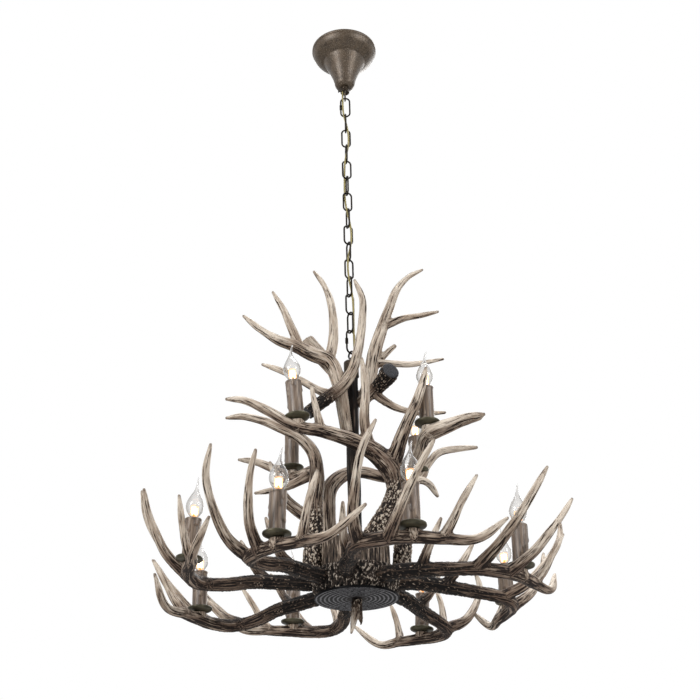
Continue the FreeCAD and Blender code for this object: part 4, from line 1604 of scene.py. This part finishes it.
@dataclass
class Candles:
    """Drip cups, wax sleeves and flame bulbs on the twelve pads."""

    antlers: Antlers
    pad: Point = (0.0, -333.0, 23.0)
    upper: tuple[Station, ...] = ((-107, -150, 203 + DRUM_TOP, -5.5), (147, -108, 262 + HUB_TOP, 0.0),
                                  (137, 149, 266 + HUB_TOP, 0.0), (-131, 105, 260 + HUB_TOP, 0.0))
    sleeve_r: float = 15.0
    sleeve_top: float = 83.0
    cup_floor: float = 3.0
    well_r: float = 7.1
    well_depth: float = 24.5
    drips: int = 11
    drip_width: tuple[float, float] = (0.2, 0.36)
    drip_low: tuple[float, float] = (12.0, 70.0)
    drip_weight: tuple[float, float] = (0.6, 1.0)
    drip_mm: float = 2.2
    sway_mm: float = 0.35
    glass_wall: float = 0.8
    # Bend, height above the sleeve and radius of the flame; radius, wire, turns, foot and head of each coil
    flame: tuple[Point, ...] = (
        (0.0, 0.6, 6.3), (0.0, 3.5, 7.4), (0.0, 8.0, 11.0), (0.0, 13.5, 14.6), (0.0, 19.0, 16.7),
        (0.0, 24.5, 17.5), (0.0, 30.0, 17.0), (0.0, 36.0, 15.2), (0.0, 42.5, 12.2), (0.1, 48.5, 8.8),
        (0.3, 53.5, 5.9), (0.7, 58.0, 4.0), (1.4, 64.0, 2.6), (2.6, 71.0, 1.9), (4.3, 77.0, 1.4),
        (5.9, 81.5, 0.8))
    coils: tuple[tuple[float, float, int, float, float], ...] = (
        (4.4, 1.5, 4, 9.5, 23.0), (7.2, 0.55, 7, 7.0, 25.5))

    def places(self) -> list[Matrix]:
        """Give the foot of every candle.

        Returns:
            Twelve places, the lower eight first.
        """
        pad = Matrix.Translation(Vector(self.pad) * MM)
        lower = [self.antlers.place(k) @ pad for k in range(len(self.antlers.sets))]
        return lower + [Matrix.Translation(Vector((x, y, z)) * MM)
                        @ Matrix.Rotation(math.radians(lean), 4, "Y") for x, y, z, lean in self.upper]

    def cup(self) -> BMesh:
        """Turn a drip cup with a rounded rim.

        Returns:
            The cup about its foot.
        """
        return spun([(0.0, 0.0), (13.0, 0.0), (14.2, 0.3), (17.5, 1.0), (21.5, 1.9), (24.0, 3.1),
                     (25.3, 5.0), (25.5, 6.6), (25.1, 8.0), (24.2, 8.8), (23.0, 9.0), (21.6, 8.4),
                     (20.4, 6.6), (18.6, 4.4), (16.0, 3.2), (0.0, self.cup_floor)], 48)

    def sleeve(self, seed: int) -> Mesh:
        """Turn a candle sleeve and let wax run down it.

        Args:
            seed: Number that sets where the drips are.

        Returns:
            The sleeve about the candle's foot.
        """
        r, top, steps = self.sleeve_r, self.sleeve_top, 40
        rise = [(r, self.cup_floor + (top - 1.6 - self.cup_floor) * k / steps) for k in range(steps + 1)]
        lip = [(r - 0.3, top - 0.7), (r - 1.2, top - 0.1), (r - 2.4, top), (8.2, top - 0.6)]
        well = [(self.well_r, top - 1.2), (self.well_r, top - self.well_depth), (0.0, top - self.well_depth)]
        mesh = meshed("sleeve", spun(rise + lip + well, 60))
        places = points_of(mesh)
        turn = np.arctan2(places[:, 1], places[:, 0])
        radial = np.hypot(places[:, 0], places[:, 1])
        height = places[:, 2] / MM
        draw = np.random.default_rng(seed)
        drip = ease(height, top - 6, top - 1) * 0.5
        for _ in range(self.drips):
            middle, width = draw.uniform(-math.pi, math.pi), draw.uniform(*self.drip_width)
            low, weight = draw.uniform(*self.drip_low), draw.uniform(*self.drip_weight)
            off = np.abs((turn - middle + math.pi) % (2 * math.pi) - math.pi)
            bead = 0.55 + 0.45 * np.exp(-((height - low - 4) / 4.5) ** 2)
            drip = np.maximum(drip, weight * bead * (1 - ease(off, width * 0.35, width))
                              * ease(height, low - 1.5, low + 2.5))
        skin = ease(radial / MM, 8.5, r - 1.0)
        sway = ripple(np.stack([np.cos(turn) * 1.6, np.sin(turn) * 1.6, height / 26 + seed * 3.1], 1))
        swell = skin * (drip * self.drip_mm + sway * self.sway_mm) * MM / np.maximum(radial, 1e-6)
        places[:, :2] *= 1 + swell[:, None]
        move_points(mesh, places)
        mark(mesh, "relief", drip * skin + (1 - skin))
        return mesh

    def bulb(self) -> Mesh:
        """Blow the flame with its bent tail, coil its filament and press its screw cap.

        Returns:
            The bulb about the candle's foot, in glass, tungsten, brass and stem glass.
        """
        top = self.sleeve_top
        bm, hollow, coil = bmesh.new(), bmesh.new(), bmesh.new()
        inner = [(x, 0.0, z + top + 0.5, r - min(self.glass_wall, r * 0.4)) for x, z, r in self.flame[:-1]]
        tube(bm, trace([(x, 0.0, z + top, r) for x, z, r in self.flame], 2.0), 36)
        tube(hollow, trace(inner, 2.0), 36)
        bmesh.ops.reverse_faces(hollow, faces=hollow.faces[:])
        pour(hollow, bm)
        for radius, wire, turns, low, high in self.coils:
            count = turns * 10
            helix = [(radius * math.cos(math.pi * k / 5), radius * math.sin(math.pi * k / 5),
                      top + low + (high - low) * k / count, wire) for k in range(count + 1)]
            tube(coil, trace(helix, 2.0), 8)
        thread = [(6.9 if k % 2 else 6.3, k * 1.5 - 20.0) for k in range(12)]
        cap = spun([(0.0, -23.8), (2.6, -23.6), (4.4, -22.4), (6.0, -21.4), *thread,
                    (6.9, -2.6), (6.9, -0.4), (6.5, 0.9), (0.0, 1.2)], 28, top)
        stem = spun([(0.0, 1.3), (4.6, 1.3), (4.2, 2.5), (3.0, 5.5), (2.7, 8.0), (3.1, 9.4), (2.6, 10.4),
                     (0.0, 11.0)], 20, top)
        for number, piece in enumerate((coil, cap, stem), start=1):
            count = len(bm.faces)
            pour(piece, bm)
            bm.faces.ensure_lookup_table()
            for face in bm.faces[count:]:
                face.material_index = number
        mesh = meshed("flame_bulb", bm)
        places = points_of(mesh)
        mark(mesh, "glow", 1 - ease(np.hypot(places[:, 0], places[:, 1]) / MM, 5.4, 6.8))
        return mesh

    def build(self) -> None:
        """Set cups, sleeves and bulbs on every pad."""
        places = self.places()
        lower = len(self.antlers.sets)
        for name, chosen in (("lower", places[:lower]), ("upper", places[lower:])):
            cups, sleeves = bmesh.new(), bmesh.new()
            for k, place in enumerate(chosen):
                pour(self.cup(), cups, place)
                sleeve = self.sleeve(31 * k + len(name) + lower * (name == "upper"))
                sleeve.transform(place)
                sleeves.from_mesh(sleeve)
                bpy.data.meshes.remove(sleeve)
            settle("drip_cups_" + name, cups, Body.FIXTURE, "cups_" + name, Slot.CUP, CUP_BRONZE, sharp=45)
            settle("wax_sleeves_" + name, sleeves, Body.FIXTURE, "sleeves_" + name, Slot.WAX, WAX, sharp=60)
        bulb = self.bulb()
        for k, place in enumerate(places):
            copy = bulb.copy()
            copy.transform(place)
            body = "bulb_%02d" % (k + 1)
            settle("flame_" + body, copy, body, body, Slot.GLASS, GLASS, TUNGSTEN, BRASS, STEM_GLASS,
                   sharp=50)
        bpy.data.meshes.remove(bulb)


@dataclass
class Studio:
    """White room with soft boxes, and a pale floor well below the fixture."""

    floor_z: float = -2.6
    floor_half: float = 9.0
    ambient: float = 0.24
    aim: Point = (0.0, 0.0, -1.15)
    boxes: tuple[tuple[str, Point, float, float], ...] = (
        ("box_left", (-2.4, -2.6, 0.2), 1.6, 100.0), ("box_right", (2.6, -2.0, 0.0), 1.6, 65.0),
        ("box_top", (0.2, 0.6, 1.4), 2.0, 70.0), ("box_back", (0.9, 2.8, 0.3), 1.8, 55.0))

    def lamp(self, name: str, place: Point, size: float, power: float) -> None:
        """Hang one soft box that neither the eye nor the glass sees.

        Args:
            name: Name of the lamp.
            place: Where it hangs.
            size: Side of its square in metres.
            power: Its power in watts.
        """
        data = bpy.data.lights.new(name, "AREA")
        data.shape, data.size, data.energy = "SQUARE", size, power
        box = stand(name, data)
        way = Vector(self.aim) - Vector(place)
        box.matrix_world = Matrix.Translation(place) @ way.to_track_quat("-Z", "Y").to_matrix().to_4x4()
        box.visible_camera = box.visible_transmission = False

    def build(self) -> None:
        """Set the world, the lamps and the floor."""
        scene = bpy.context.scene
        scene.view_settings.view_transform = "Standard"
        world = bpy.data.worlds.new("white_room")
        world.use_nodes = True
        tree = world.node_tree
        tree.nodes.clear()
        path = add(tree, "LightPath").outputs
        seen = path["Is Camera Ray"]
        for ray in ("Is Glossy Ray", "Is Transmission Ray"):
            seen = join(tree, "MAXIMUM", seen, path[ray])
        level = span(tree, seen, self.ambient, 1.0)
        add(tree, "OutputWorld", {"Surface": add(tree, "Background", {"Color": WHITE, "Strength": level})})
        scene.world = world
        for box in self.boxes:
            self.lamp(*box)
        bm = bmesh.new()
        bmesh.ops.create_grid(bm, x_segments=8, y_segments=8, size=self.floor_half)
        bmesh.ops.translate(bm, verts=bm.verts[:], vec=(0, 0, self.floor_z))
        mesh = meshed("studio_floor", bm)
        mesh.materials.append(FLOOR.material())
        stand("studio_floor", mesh)


def main() -> None:
    """Build the scene in order: camera, flex, fixed fittings, chain, stem, horns, candles, room."""
    logging.basicConfig(level=logging.INFO, format="%(name)s: %(message)s")
    PhotoCamera().build()
    Flex().build()
    Canopy().build()
    chain = Chain()
    chain.build()
    Stem(chain).build()
    antlers = Antlers()
    antlers.build()
    Candles(antlers).build()
    Studio().build()


if __name__ == "__main__":
    main()
